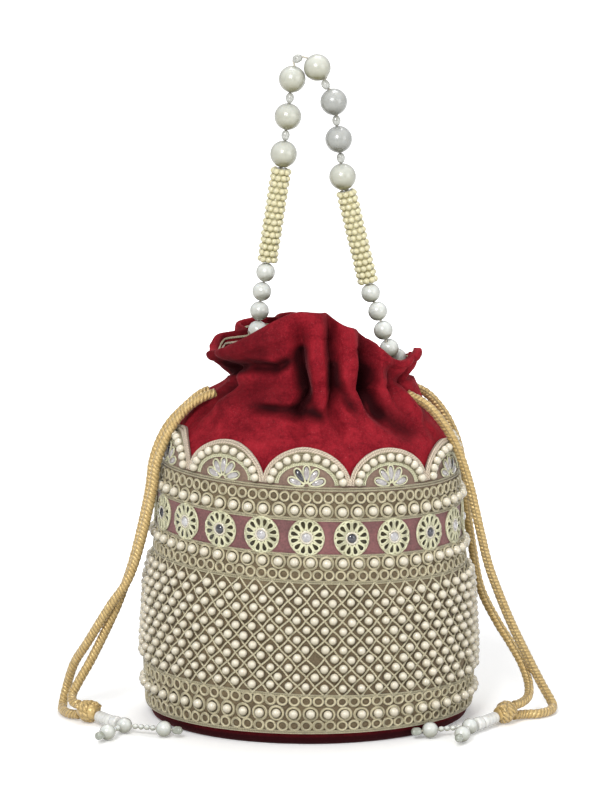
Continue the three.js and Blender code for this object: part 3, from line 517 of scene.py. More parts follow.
# near-black gloss: on the rosettes it stands for a painted dark reflection in their mirror centres
blackStone = makeStone("blackStone", (0.01, 0.01, 0.015, 1), (0.03, 0.03, 0.05, 1), 0.0, 0.08)
paleStone = makeStone("paleStone", (0.7, 0.69, 0.68, 1), (0.4, 0.38, 0.4, 1), 0.15, 0.1)
clearPetal = makeStone("clearPetal", (0.78, 0.77, 0.76, 1), (0.5, 0.45, 0.45, 1), 0.45, 0.08)
print("materials made:", len(bpy.data.materials))


# Floor, light and camera
view = {"mmPerPixel": 0.52, "elevation": 11.2, "distance": 3000, "lookAt": (-4.7, 0, 170.1),
        "pictureHeight": 788}


stage = {"floor": (0.94, 0.94, 0.94, 1), "size": 6, "glow": (0.25, 1.0), "glowFrom": (0.18, 0.45)}


def seenRays(tree):    # 1 for a ray from the camera, a gloss or a glass, so that all three show the studio
    rays = addNode(tree, "LightPath").outputs
    direct = reckon(tree, "MAXIMUM", rays["Is Camera Ray"], rays["Is Glossy Ray"])
    return reckon(tree, "MAXIMUM", direct, rays["Is Transmission Ray"])


def makeStage():
    material, tree, shader = newMaterial("paleFloor", Roughness=0.9, Base_Color=stage["floor"],
                                         Emission_Color=(1, 1, 1, 1))
    away = addNode(tree, "VectorMath", {0: onObject(tree)}, operation="LENGTH").outputs["Value"]
    glow = ranged(tree, away, *stage["glowFrom"], *stage["glow"])
    feed(tree, shader, Emission_Strength=reckon(tree, "MULTIPLY", seenRays(tree), glow))
    mesh = bpy.data.meshes.new("floor")
    size = stage["size"]
    corners = [(-size, -size, 0), (size, -size, 0), (size, size, 0), (-size, size, 0)]
    mesh.from_pydata(corners, [], [(0, 1, 2, 3)])
    mesh.materials.append(material)
    floor = bpy.data.objects.new("floor", mesh)
    bpy.context.scene.collection.objects.link(floor)
    world = bpy.data.worlds.new("studio")
    bpy.context.scene.world = world
    world.use_nodes = True
    air = world.node_tree.nodes["Background"]
    air.inputs["Color"].default_value = (1, 1, 1, 1)
    strength = between(world.node_tree, seenRays(world.node_tree), lamps["world"], 1.0)
    feed(world.node_tree, air.inputs, Strength=strength)


lamps = {
    "world": 0.36,
    "areas": [    # name, place, size, watts: all aimed at the middle of the bag
        ("keyLamp", (-0.45, -1.6, 1.25), 0.6, 25), ("fillLamp", (1.4, -1.1, 0.7), 1.0, 8),
        ("topLamp", (0.1, 0.5, 1.7), 0.8, 10)],
}


def makeLamps():
    for name, place, size, watts in lamps["areas"]:
        data = bpy.data.lights.new(name, "AREA")
        data.energy = watts
        data.size = size
        lamp = bpy.data.objects.new(name, data)
        bpy.context.scene.collection.objects.link(lamp)
        lamp.location = place
        lamp.rotation_euler = (Vector((0, 0, 0.14)) - Vector(place)).to_track_quat("-Z", "Y").to_euler()


def makeCamera():
    data = bpy.data.cameras.new("camera")
    data.sensor_fit = "VERTICAL"
    data.sensor_height = 24
    data.lens = data.sensor_height * view["distance"] / (view["mmPerPixel"] * view["pictureHeight"])
    data.clip_end = 50
    camera = bpy.data.objects.new("camera", data)
    bpy.context.scene.collection.objects.link(camera)
    tilt = math.radians(view["elevation"])
    toward = Vector((0, -math.cos(tilt), math.sin(tilt)))
    camera.location = (Vector(view["lookAt"]) + toward * view["distance"]) * mm
    camera.rotation_euler = (-toward).to_track_quat("-Z", "Y").to_euler()
    bpy.context.scene.camera = camera


bpy.context.scene.view_settings.view_transform = "Standard"
makeStage()
makeLamps()
makeCamera()
print("stage ready")


# Rope drawstrings and their knots
ropes = {
    "width": 5, "step": 0.75, "sides": 20, "strands": 3, "pitch": 9.5, "groove": 0.2,
    "routes": {
        "left_front": [
            (-48.4, -15.2, 173.9), (-54, -16.5, 172), (-61.6, -17.8, 167.5), (-70.4, -20, 157.7),
            (-75.6, -21, 147.3), (-79, -21.7, 136.9), (-80.5, -21.7, 126.2), (-85, -21, 105), (-91, -20, 83.5),
            (-95.6, -18.5, 72.7), (-103, -15, 61.5), (-116.2, -7, 38.5), (-123, -1, 26.5), (-127.6, 4, 11.5),
            (-129.5, 1, 3), (-129, -7, 2.7), (-125.5, -15.5, 2.9), (-120, -20.4, 3.5)],
        "left_back": [
            (-52.1, -6.3, 173.5), (-56.7, -9.3, 171.7), (-62.8, -12, 167), (-72.2, -14.2, 157.6),
            (-78, -15.2, 147.1), (-81.2, -15.8, 136.6), (-82.6, -15.8, 125), (-86.8, -15.3, 104),
            (-92.2, -14, 82.5), (-95.8, -12.6, 71.6), (-100, -11, 60), (-110, -7.5, 37.8), (-115.5, -7.5, 27),
            (-120.5, -9, 18.5), (-124, -13, 11.5), (-122.7, -18, 9.2), (-120, -20.4, 8.9)],
        "right_front": [
            (50.6, -14, 172.9), (61.3, -17.2, 167.3), (69.7, -19, 157.7), (75.9, -20.5, 147.4),
            (79.9, -21, 136.9), (83.2, -21, 126.2), (88.1, -19, 104.6), (93.3, -14.5, 82.8), (97, -12, 71.8),
            (105.6, -6.5, 49.7), (116, -1.5, 27.2), (122.5, 1.5, 14), (128, 0, 3.8), (126.5, -8, 2.7),
            (120, -15, 2.7), (112.5, -17.6, 3), (106.7, -22, 3.5)],
        "right_back": [
            (50.6, 14.3, 172.9), (61.5, 17.2, 167.2), (70, 19, 157.5), (75.5, 21, 147), (79, 23, 136),
            (81, 25, 122), (83, 26, 104), (86, 25, 84), (90.5, 19, 62), (99.3, 12, 45.3), (105.8, 8, 35.5),
            (112, 3, 25), (115.2, -4, 16), (114.5, -12, 11), (110.5, -18.4, 9.2), (106.7, -22, 8.9)],
    },
    "knots": {"left": (-115, -24, -35), "right": (102, -26, -140)},
    "knotWidth": 12, "knotLength": 11, "floorGap": 0.2,
}


def twistedTube(path, width, sides, pitch):
    path = np.asarray(path, float)
    strands = ropes["strands"]
    b = turn * np.arange(sides)[None, :] / sides
    strand = np.abs(np.cos(strands / 2 * b + turn / 2 * strands * runningLength(path)[:, None] / pitch))
    return tube(path, width, sides, shape=1 - ropes["groove"] * (1 - strand ** 0.6))


def makeRope(name, points):
    path = curveThrough(points, ropes["step"])
    shape = twistedTube(path, ropes["width"], ropes["sides"], ropes["pitch"])
    return makePiece(f"rope_{name}", shape, goldRope, "rope", f"drawstring_{name}",
                     lay=layOf(path, ropes["sides"])), path


def makeKnot(side):    # turns of the same rope wrapped about both cords, over a packed core
    x, y, degrees = ropes["knots"][side]
    at = np.array([x, y, ropes["knotWidth"] / 2 + ropes["floorGap"]])
    heading = (math.cos(math.radians(degrees)), math.sin(math.radians(degrees)), 0)
    half = ropes["knotLength"] / 2
    profile = [(0.01, -half), (3.2, -half), (4.3, -half / 2), (4.5, 0), (4.3, half / 2), (3, half),
               (0.01, half)]
    core = lathe(profile, 20)
    a = np.linspace(0, 2.2 * turn, 150)
    wrap = np.stack([3.9 * np.cos(a), 3.9 * np.sin(a), mix(-3.3, 3.3, a / a[-1]) + 0.5 * np.sin(a * 0.5)], -1)
    cross = np.linspace(0, 1, 50)
    angle = 2.4 * cross + 0.3
    over = np.stack([4.2 * np.cos(angle), 4.2 * np.sin(angle), mix(4.2, -4.2, cross)], -1)
    parts, lays = [core], [np.zeros((len(core[0]), 3))]
    for path in (wrap, over):
        parts.append(twistedTube(path, 3.9, 14, 7))
        lays.append(layOf(path, 14))
    points, faces = placed(joined(parts), at, heading)
    points[:, 2] = np.maximum(points[:, 2], ropes["floorGap"])
    return makePiece(f"{side}KnotWraps", (points, faces), goldRope, "rope", f"{side}_rope_knot",
                     lay=np.concatenate(lays))


ropePieces = {name: makeRope(name, points) for name, points in ropes["routes"].items()}
knotPieces = {side: makeKnot(side) for side in ropes["knots"]}
print("ropes laid:", {name: round(float(runningLength(path)[-1])) for name, (_, path) in ropePieces.items()})


# Velvet pouch
pouch = {
    "columns": 448, "wrinkle": 0.95, "hemSwell": 1.7, "hemShare": 0.16, "swell": 3.0, "swellFrom": 150,
    "pinch": 3.2, "puff": 2.6, "hidden": 8.5, "foldsFrom": 140, "dimDepth": 11, "baseShade": 1.25,
    "hems": [("creamHem", 0.86, 1.2, zari), ("blushHem", 0.74, 1.2, zariPink), ("paleHem", 0.63, 1.3, zari)],
    "outerRows": [*np.linspace(0, 1, 5) ** 1.4 * 4, *np.linspace(9, 128, 8), *np.linspace(132, neckZ, 56)],
    "frillRows": 40, "innerFrillRows": 22,
    "innerRows": [177.5, 174, 170, 162, 154, 146, 137, 120, 80, 40, 12],
}


def foldBulge(degrees):    # how far each fold swells between its two creases, 0 at a crease
    marks = sorted(g[0] for g in gathers)
    marks = [marks[-1] - 360, *marks, marks[0] + 360]
    at = (np.asarray(degrees) + 180) % 360 - 180
    at = np.where(at < marks[0], at + 360, at)
    at = np.where(at > marks[-1], at - 360, at)
    k = np.clip(np.searchsorted(marks, at, side="right") - 1, 0, len(marks) - 2)
    low = np.array(marks)[k]
    high = np.array(marks)[k + 1]
    t = np.clip((at - low) / (high - low), 0, 1)
    return np.sqrt(np.clip(4 * t * (1 - t), 0, 1)) * np.minimum((high - low) / 30, 1.3)


def waver(points, size, seed):
    offset = Vector((seed * 3.7, seed * 1.3, seed * 7.1))
    return np.array([noise.noise(Vector(p) / size + offset) for p in points])


def velvetShift(points, amount, seed):    # soft wrinkles, longer up the cloth than across it
    stretched = points * np.array([1, 1, 0.45])
    fine = waver(stretched, 9, seed) + 0.55 * waver(stretched, 4.2, seed + 2)
    return amount * (fine + 1.2 * waver(points, 26, seed + 4))


# Creases and swells seen from the front, each a line of picture places with its depth and half width in mm;
# a swell has a depth below nought, and the last number is the painted shade laid along the line
frontFolds = [
    ([(219, 374), (230, 369), (255, 365), (279, 367), (292, 360), (303, 352)], 7.5, 2.8, 1.5),    # roll
    ([(301, 352), (304, 374), (303, 388), (309, 401), (319, 416)], 4.5, 2.6, 1.0),    # beside the roll, down
    ([(320, 417), (300, 411), (275, 409), (245, 405)], 4.6, 3.0, 1.1),    # below the middle swell
    # these two swells get painted shade over their body
    ([(226, 352), (250, 346), (280, 338), (296, 334)], -5.5, 8, 0.52),
    ([(228, 388), (262, 390), (292, 392), (300, 394)], -5, 8, 0.52),
    ([(333, 366), (335, 378), (346, 400), (360, 420)], 4.4, 2.4, 1.0),    # long slanting folds, right
    ([(363, 372), (366, 386), (374, 404), (382, 424)], 4.2, 3.4, 1.1),
    ([(386, 414), (402, 428), (420, 440)], 3.4, 4.0, 0.9),
    ([(342, 380), (352, 400), (366, 418)], -3.6, 4.5, 0),
    ([(374, 378), (392, 394), (410, 411), (424, 424)], -4.4, 6.0, 0),
    ([(384, 372), (396, 378), (408, 384)], 2.0, 3.6, 0.5),
    ([(320, 330), (318, 352), (312, 380)], -2.4, 4.2, 0),    # the two upright tubes of cloth
    ([(345, 336), (346, 356), (342, 378)], -2.2, 4.2, 0),
    ([(232, 366), (250, 356), (268, 352), (286, 352)], 1.6, 3.2, 0.35),
    ([(205, 408), (240, 425), (290, 432)], 1.2, 6, 0.25),
]


def pictured(points):    # where points of the bag fall in the front view, in pixels
    side = view["mmPerPixel"]
    tilt = math.radians(view["elevation"])
    middle = np.array(view["lookAt"])
    rise = (points[:, 2] - middle[2]) * math.cos(tilt) + (points[:, 1] - middle[1]) * math.sin(tilt)
    return np.stack([300 + (points[:, 0] - middle[0]) / side, view["pictureHeight"] / 2 - rise / side], -1)


def frontFoldShift(points, theta):    # outward shift in mm, and the painted shade of the creases and swells
    seen = pictured(points)
    facing = eased((np.cos(theta) - 0.05) / 0.35)
    shift = np.zeros(len(points))
    dark = np.zeros(len(points))
    for line, depth, half, shade in frontFolds:
        line = np.array(line, float)
        near = np.full(len(points), 1e9)
        along = np.zeros(len(points))
        done, whole = 0.0, np.linalg.norm(np.diff(line, axis=0), axis=1).sum()
        for a, b in zip(line, line[1:]):
            t = np.clip(((seen - a) @ (b - a)) / ((b - a) @ (b - a)), 0, 1)
            gap = np.linalg.norm(seen - (a + t[:, None] * (b - a)), axis=1)
            length = np.linalg.norm(b - a)
            along = np.where(gap < near, (done + t * length) / whole, along)
            near = np.minimum(near, gap)
            done += length
        fading = eased((1.04 - along) / 0.38)
        strength = np.exp(-(near * view["mmPerPixel"] / half) ** 2) * facing * fading
        shift -= depth * strength
        dark += 0.85 * shade * strength ** 0.8
    return shift, np.clip(dark, 0, 1)


def frillEase(theta, share, swell):    # the frill's own swell: drawn in at its foot and puffed above
    rise = rimHeight(np.degrees(theta)) * share
    drawn = pouch["pinch"] * np.exp(-(rise / 5) ** 2)
    puffed = pouch["puff"] * np.exp(-((rise - 14) / 7) ** 2)
    ahead = mix(0.1, 1, np.abs(np.cos(theta)))
    return ahead * (mix(pouch["swell"], 1.8, share) * swell + puffed) - drawn


def shoulderEase(z, swell):    # the body's own swell grows up the shoulder and is drawn in at the neck
    full = float(eased((z - pouch["swellFrom"]) / (neckZ - pouch["swellFrom"])))
    return full, pouch["swell"] * full * swell - pouch["pinch"] * np.exp(-((z - neckZ) / 5) ** 2)


def hemRoll(share):    # the rim's turned hem, plump across its width
    across = (1 - share) / pouch["hemShare"] - 1
    return pouch["hemSwell"] * math.sqrt(max(0, 1 - across ** 2))


def makePouch():
    theta = turn * np.arange(pouch["columns"]) / pouch["columns"]
    degrees = np.degrees(theta)
    swell = foldBulge(degrees)
    dim = pouch["dimDepth"]
    rings, creased = [], []
    for z in pouch["outerRows"]:
        full, own = shoulderEase(z, swell)
        shift, dark = frontFoldShift(bodyPoint(theta, z, 0), theta) if z > pouch["foldsFrom"] else (0, 0)
        rings.append(bodyPoint(theta, z, own + shift))
        # painted shade: the gathered creases by their depth, the front folds and swells by their shade, and
        # the foot of the bag beside the floor as painted shadow
        creased.append(gatherDepth(degrees, z, 0) * full + dim * dark + dim * pouch["baseShade"] * (z < 9))
    for share in np.linspace(0, 1, pouch["frillRows"] + 1)[1:]:
        shift, dark = frontFoldShift(frillPoint(theta, share, 0), theta)
        rings.append(frillPoint(theta, share, hemRoll(share) + frillEase(theta, share, swell) + shift))
        creased.append(gatherDepth(degrees, neckZ, share) * (1 - 0.2 * share) + dim * dark)
    outerCount = len(rings)
    # inside the mouth and the bag: painted shade, deeper in the gathers
    for share in np.linspace(1, 0, pouch["innerFrillRows"]):
        shift, _ = frontFoldShift(frillPoint(theta, share, 0), theta)
        rings.append(frillPoint(theta, share, frillEase(theta, share, swell) + shift - body["wall"]))
        creased.append(gatherDepth(degrees, neckZ, share) * 0.6 + 3)
    for z in pouch["innerRows"]:
        back = body["wall"] + pouch["hidden"] * float(eased((z - 130) / 20))
        rings.append(bodyPoint(theta, float(z), shoulderEase(z, swell)[1] - back))
        creased.append(gatherDepth(degrees, z, 0) + 4)
    grid = np.array(rings)
    amount = np.array([mix(0.15, 1, float(eased((z - 130) / 25))) for z in grid[:, :, 2].mean(1)])
    shift = velvetShift(grid.reshape(-1, 3), pouch["wrinkle"], 1).reshape(grid.shape[:2]) * amount[:, None]
    grid += outwardOf(theta)[None] * shift[:, :, None]
    grid[:, :, 2] = np.maximum(grid[:, :, 2], 0)
    # the painted shade is taken off on the wrinkles' outward crests, as a painted highlight
    fold = np.clip(np.clip(np.array(creased) / dim, 0, 1) - 0.18 * np.clip(shift, 0, 1), 0, 1)
    shape = capped(grid.reshape(-1, 3), len(grid), pouch["columns"], (0, 0, 0), (0, 0, 4))
    makePiece("velvetPouch", shape, velvet, "velvet", "velvet_pouch", fold=[*fold.ravel(), 0, 0])
    return grid[outerCount:outerCount + pouch["innerFrillRows"]]


innerFrill = makePouch()
print("velvet made")


# Lining, base board and the handle's tabs
def makeLining():
    columns, rows = 160, 7
    theta = turn * np.arange(columns) / columns
    outside = [(z, -3.1) for z in (8, 20, 40, 60, 80, 100, 123)]
    inside = [(z, -3.9) for z in (123, 100, 80, 60, 40, 20, 8.5)]
    grid = np.array([bodyPoint(theta, float(z), off - 0.5 * (z < 9)) for z, off in outside + inside])
    slack = 0.5 * waver(grid[:rows].reshape(-1, 3) * (1, 1, 0.4), 11, 5).reshape(rows, -1)
    for k in range(rows):
        shift = outwardOf(theta) * np.minimum(slack[k], 0.2)[:, None]
        grid[k] += shift
        grid[-1 - k] += shift
    shape = capped(grid.reshape(-1, 3), 2 * rows, columns, (0, 0, 6.9), (0, 0, 7.6))
    makePiece("satinLining", shape, lining, "lining", "lining_bag")


def dress(node, material):
    nodes[node].data.materials.clear()
    nodes[node].data.materials.append(material)


def makeHem():    # bands sewn round the inside of the mouth
    rows = innerFrill[::-1]
    theta = turn * np.arange(pouch["columns"]) / pouch["columns"]
    for name, share, width, material in pouch["hems"]:
        k = share * (len(rows) - 1)
        line = mix(rows[int(k)], rows[int(k) + 1], k - int(k)) - outwardOf(theta) * (width / 2 - 0.6)
        makePiece(name, tube(line, width, 6, closed=True), material, "lining", lay=layOf(line, 6))


makeLining()
makeHem()
dress("base_board", boardCloth)
for side in ("left", "right"):
    dress(f"handle_tab_{side}", velvet)
print("lining made")


# Embroidered sleeve
sleeve = {
    "lift": 7, "gap": 0.4, "cloth": 1.1, "edgeBand": 19.8, "cellHeight": 9.84, "cells": 54, "halfRows": 12,
    "middleBand": 13.6, "rosetteBand": 18.8, "scallopRise": 18, "scallops": 10,
    "patternTurn": -1, "patternTilt": 3.3, "columns": 720,
    "pearl": 4.6, "missing": 0.004, "threadWidth": 1.0, "cordRise": 0.45,
    "ringedPearls": {"ringWidth": 8.2, "cord": 1.45, "pearl": 5.0,
                     "rows": [(17.2, 57), (95.8, 57), (122.6, 57)]},
    "chains": {"ringWidth": 6.2, "cord": 1.4, "rows": [(10.9, 81), (24.0, 81), (89.4, 81), (129.4, 81)]},
    "lines": [7.6, 26.8, 85.84, 99.44, 118.24],
}
latticeBottom = sleeve["lift"] + sleeve["edgeBand"]
latticeTop = latticeBottom + sleeve["halfRows"] * sleeve["cellHeight"] / 2
rosetteBottom = latticeTop + sleeve["middleBand"]
rosetteTop = rosetteBottom + sleeve["rosetteBand"]


def clothTable():    # turns even along the cloth, against the angle about the bag
    theta = np.linspace(0, turn, 2881)
    middle = (theta[1:] + theta[:-1]) / 2
    flat = body["depth"] / body["width"]
    length = np.concatenate([[0], np.cumsum(np.hypot(np.cos(middle), flat * np.sin(middle)))])
    return length / length[-1], theta


evenTurns, theirAngles = clothTable()
clothAround = 480    # the cloth's girth in mm, at its widest


def clothAngle(turns):
    whole = np.floor(turns)
    return (np.interp(turns - whole, evenTurns, theirAngles) + whole * turn
            + math.radians(sleeve["patternTurn"]))


def onCloth(turns, z, off):    # a point off the sleeve's face; turns run round the bag, 0 at the front
    theta = clothAngle(np.asarray(turns, float))
    tilt = sleeve["patternTilt"] * np.sin(theta) * eased((z - sleeve["lift"]) / sleeve["edgeBand"])
    return bodyPoint(theta, np.asarray(z - tilt, float), sleeve["gap"] + sleeve["cloth"] + off)


def wrapped(shape, turns, z, spin=0.0):    # a flat shape bent onto the cloth: x goes round, y up and z out
    points, faces = shape
    c, s = math.cos(spin), math.sin(spin)
    x = points[:, 0] * c - points[:, 1] * s
    y = points[:, 0] * s + points[:, 1] * c
    return onCloth(turns + x / clothAround, z + y, points[:, 2]), faces


def scallopHeight(turns):
    across = 2 * ((turns * sleeve["scallops"] + 0.5) % 1) - 1
    return body["shoulderZ"] + sleeve["scallopRise"] * np.sqrt(np.clip(1 - across ** 2, 0, 1))


def makeSleeveCloth():
    columns = sleeve["columns"]
    turns = np.arange(columns) / columns
    levels = [*np.linspace(sleeve["lift"], rosetteBottom, 30), *np.linspace(rosetteBottom, rosetteTop, 8)[1:],
              *np.linspace(rosetteTop, body["shoulderZ"] - 3.5, 6)[1:]]
    outside = [onCloth(turns, z, 0.0) for z in levels]
    start = levels[-1]
    crest = scallopHeight(turns)
    top = [onCloth(turns, mix(start, crest, k / 8), 0.0) for k in range(1, 9)]
    inner = [onCloth(turns, mix(start, crest, k / 4), 0.25 - sleeve["cloth"]) for k in range(4, -1, -1)]
    back = [onCloth(turns, z, -sleeve["cloth"]) for z in np.linspace(start - 4, sleeve["lift"], 14)]
    grid = np.array(outside + top + inner + back)
    faces = gridFaces(len(grid), columns, True)
    row = np.repeat(np.arange(len(grid)), columns)
    behindRosettes = (row >= 29) & (row < 36)
    scallopEdge = (row >= 41) & (row < 56)
    slots = np.where(behindRosettes, 1, np.where(scallopEdge, 2, 0))
    makePiece("sleeveCloth", (grid.reshape(-1, 3), faces.tolist()), [ground, roseGround, edging],
              "embroidery", "embroidered_sleeve", faceSlots=slots)


def addWork(name, parts, material, lay=None):
    points, faces = joined(parts)
    if lay is None:
        lay = np.stack([np.linalg.norm(points[:, :2], axis=1), 0 * points[:, 2], 0 * points[:, 2]], -1)
    makePiece(name, (points, faces), material, "embroidery", lay=lay)


def clothCord(turns, z, off, width, sides, closed=False):
    path = onCloth(turns, z, off)
    return tube(path, width, sides, closed), layOf(path, sides)


def addCords(name, cords, material):
    addWork(name, [cord[0] for cord in cords], material, np.concatenate([cord[1] for cord in cords]))


def makeLattice():
    cells, rows = sleeve["cells"], sleeve["halfRows"]
    cords = []
    share = np.linspace(0, 1, 49)
    for way in (-1, 1):
        for i in range(cells):
            wobble = 0.35 * np.sin(share * 41 + i * 2.4 + way)
            u = i / cells + way * rows / 2 * share / cells + wobble / clothAround
            z = mix(latticeBottom, latticeTop, share)
            cords.append(clothCord(u, z, 0.45 + 0.15 * way, sleeve["threadWidth"], 5))
    addCords("latticeThreads", cords, netThread)
    pearls = []
    shape = ball(sleeve["pearl"] / 2, 12, 7)
    for row in range(1, rows):
        for i in range(cells):
            if random.random() < sleeve["missing"]:
                continue
            u = (i + (0.5 if row % 2 == 0 else 0.0)) / cells
            z = latticeBottom + row * sleeve["cellHeight"] / 2
            dx = random.uniform(-0.45, 0.45)
            dz = random.uniform(-0.45, 0.45)
            size = random.uniform(0.94, 1.05)
            at = onCloth(u + dx / clothAround, z + dz, sleeve["pearl"] / 2 * 0.65)
            pearls.append(moved(shape, at, size))
    addWork("latticePearls", pearls, sewnPearl)


def makeBands():
    ringed, chain = sleeve["ringedPearls"], sleeve["chains"]
    rings, pearls, links = [], [], []
    ring = hoop((ringed["ringWidth"] - ringed["cord"]) / 2, ringed["cord"], 18, 5)
    ring = moved(ring, (0, 0, sleeve["cordRise"]))
    pearl = ball(ringed["pearl"] / 2, 12, 7)
    for z, count in ringed["rows"]:
        for i in range(count):
            u = (i + 0.25) / count
            level = z + random.uniform(-0.2, 0.2)
            rings.append(wrapped(ring, u, level))
            pearls.append(moved(pearl, onCloth(u, level, 1.5), random.uniform(0.96, 1.04)))
    link = hoop((chain["ringWidth"] - chain["cord"]) / 2, chain["cord"], 14, 5)
    for z, count in chain["rows"]:
        for i in range(count):
            oval = moved(link, (0, 0, sleeve["cordRise"]), (1.0, random.uniform(0.94, 1.02), 1.0))
            links.append(wrapped(oval, i / count, z + random.uniform(-0.15, 0.15), 0.5))
    addWork("bandRings", rings, zari)
    addWork("bandPearls", pearls, sewnPearl)
    addWork("ringChains", links, zari)
    addLines("bandLines", [z + step for z in sleeve["lines"] for step in (-0.5, 0.5)], 360)


def addLines(name, levels, steps):    # level cords all the way round
    turns = np.arange(steps) / steps
    addCords(name, [clothCord(turns, z, 0.35, 0.95, 6, closed=True) for z in levels], zari)


rosettes = {"count": 20, "radius": 9.2, "petals": 12, "stone": 2.6, "bezel": 3.4, "cord": 1.4,
            "petalWidth": 4.3, "darkStones": (1, 3)}    # these of each five have their mirror centre painted dark, a painted dark reflection


def petalLoop(inner, outer, wide, cord, steps=14, sides=5):    # a teardrop of cord, point inward
    a = turn * np.arange(steps) / steps
    middle = (inner + outer) / 2
    reach = (outer - inner) / 2
    x = middle + reach * np.cos(a)
    y = wide / 2 * np.sin(a) * (0.72 + 0.34 * np.cos(a))
    return tube(np.stack([x, y, 0 * a + cord * 0.55], -1), cord, sides, closed=True)


def makeRosettes():
    r = rosettes
    loops, rims, bezels, dark, pale, discs = [], [], [], [], [], []
    within = r["radius"] - 0.2
    petal = petalLoop(r["bezel"] + 0.2, within, r["petalWidth"], r["cord"])
    rim = moved(hoop(r["radius"], 1.0, 40, 6), (0, 0, 0.5))
    disc = lathe([(0.01, 0.05), (within, 0.05), (within, 0.25), (0.01, 0.3)], 40)
    bezel = moved(hoop(r["bezel"] - 0.4, 1.5, 24, 6), (0, 0, 0.8))
    stone = moved(ball(r["stone"], 16, 8, 0.62), (0, 0, 0.7))
    z = (rosetteBottom + rosetteTop) / 2
    for i in range(r["count"]):
        u = i / r["count"]
        rims.append(wrapped(rim, u, z))
        bezels.append(wrapped(bezel, u, z))
        # painted reflection: the listed mirror centres are painted near-black, the rest pale
        (dark if i % 5 in r["darkStones"] else pale).append(wrapped(stone, u, z))
        loops += [wrapped(petal, u, z, turn * (k + 0.5) / r["petals"]) for k in range(r["petals"])]
        discs.append(wrapped(disc, u, z))
    addWork("rosettePetals", loops + rims, zariGreen)
    addWork("rosetteGrounds", discs, underRosette)
    addWork("rosetteBezels", bezels, sewnPearl)
    addWork("darkStones", dark, blackStone)
    addWork("paleStones", pale, paleStone)


scallopWork = {"edgeWidth": 2.3, "pearl": 4.6, "pearls": 11, "inset": 4.2, "petals": 5,
               "fillInsets": (2.2, 3.3, 4.4, 5.5, 6.5), "darkPetals": (3, 11, 17, 26, 34, 42)}


def arch(share, inset):    # a point of a scallop's arch, by its place along it, in pitches and mm
    angle = math.pi * (1 - share)
    wide = clothAround / sleeve["scallops"] / 2 - inset
    return wide * math.cos(angle), (sleeve["scallopRise"] - inset) * math.sin(angle)


def archCord(turns, line, off, width, sides):    # a cord along a flat line over a scallop's foot
    return clothCord(turns + line[:, 0] / clothAround, body["shoulderZ"] + line[:, 1], off, width, sides)


def archLine(inset, steps):
    return np.array([arch(share, inset) for share in np.linspace(0, 1, steps)])


def makeScallops():
    w = scallopWork
    edges, inners, fills, pearls, petals, slits, rims = [], [], [], [], [], [], []
    loop = petalLoop(1.5, 10.6, 4.9, 1.0, 18)
    pearl = ball(w["pearl"] / 2, 12, 7)
    leaf = moved(ball(1, 12, 8), (6.4, 0, 0.6), (3.5, 1.6, 0.9))
    foot = body["shoulderZ"]
    for i in range(sleeve["scallops"]):
        u = i / sleeve["scallops"]
        for rise, grow in ((0.55, 0.5 / 24), (0.75, -0.9 / 24)):
            edges.append(archCord(u, archLine(0.7, 41) * (1 + grow), rise, w["edgeWidth"] * 0.62, 7))
        for shrink in (0, 1.1 / 17):
            inners.append(archCord(u, archLine(7.1, 33) * (1 - shrink), 0.4, 1.0, 6))
        fills += [archCord(u, archLine(inset, 33), 0.12, 1.25, 5) for inset in w["fillInsets"]]
        for k in range(w["pearls"]):
            x, y = arch((k + 0.5) / w["pearls"], w["inset"])
            pearls.append(moved(pearl, onCloth(u + x / clothAround, foot + y, w["pearl"] / 2 * 0.7)))
        for k in range(w["petals"]):
            spin = math.pi * (k + 0.5) / w["petals"]
            rims.append(wrapped(loop, u, foot - 0.6, spin))
            dark = i * w["petals"] + k in w["darkPetals"]
            (slits if dark else petals).append(wrapped(leaf, u, foot - 0.6, spin))
    addCords("scallopEdges", edges, zariPink)
    addCords("scallopInnerArcs", inners, zariGreen)
    addCords("scallopFills", fills, fillThread)
    addWork("scallopPearls", pearls, sewnPearl)
    addWork("scallopPetals", petals, clearPetal)
    addWork("darkPetals", slits, blackStone)
    addWork("petalLoops", rims, zariGreen)
    addLines("scallopFootLines", [foot - 2.6, foot - 1.4], 400)


makeSleeveCloth()
makeLattice()
makeBands()
makeRosettes()
makeScallops()
print("sleeve made")


# Strung handle
handle = {"bigPearl": 14, "mediumPearl": 10, "bore": 0.95, "wovenWidth": 11.2, "wovenLength": 50, "seed": 3.5,
          "seedRows": 15, "seedsAround": 8, "thread": 1.0, "silver": ("big_pearl_5", "big_pearl_6")}


def boredBall(radius, bore, across, up):    # a pearl with its hole, the hole's edge a little sunk
    tip = math.acos(bore / radius)
    arc = np.linspace(-tip, tip, up)
    profile = [(radius * math.cos(a), radius * math.sin(a)) for a in arc]
    lip = profile[0][0]
    top = profile[-1][1]
    return lathe([*profile, (lip * 0.85, top - 0.5), (lip * 0.85, 0.5 - top)], across)


def spacerShape():    # a small oval pearl
    arc = np.linspace(-1.15, 1.15, 16)
    side = [(2.1 * math.cos(a) + 0.15, 2.5 * math.sin(a) / math.sin(1.15)) for a in arc]
    return lathe([(0.7, -2.4), *side, (0.7, 2.4)], 28)


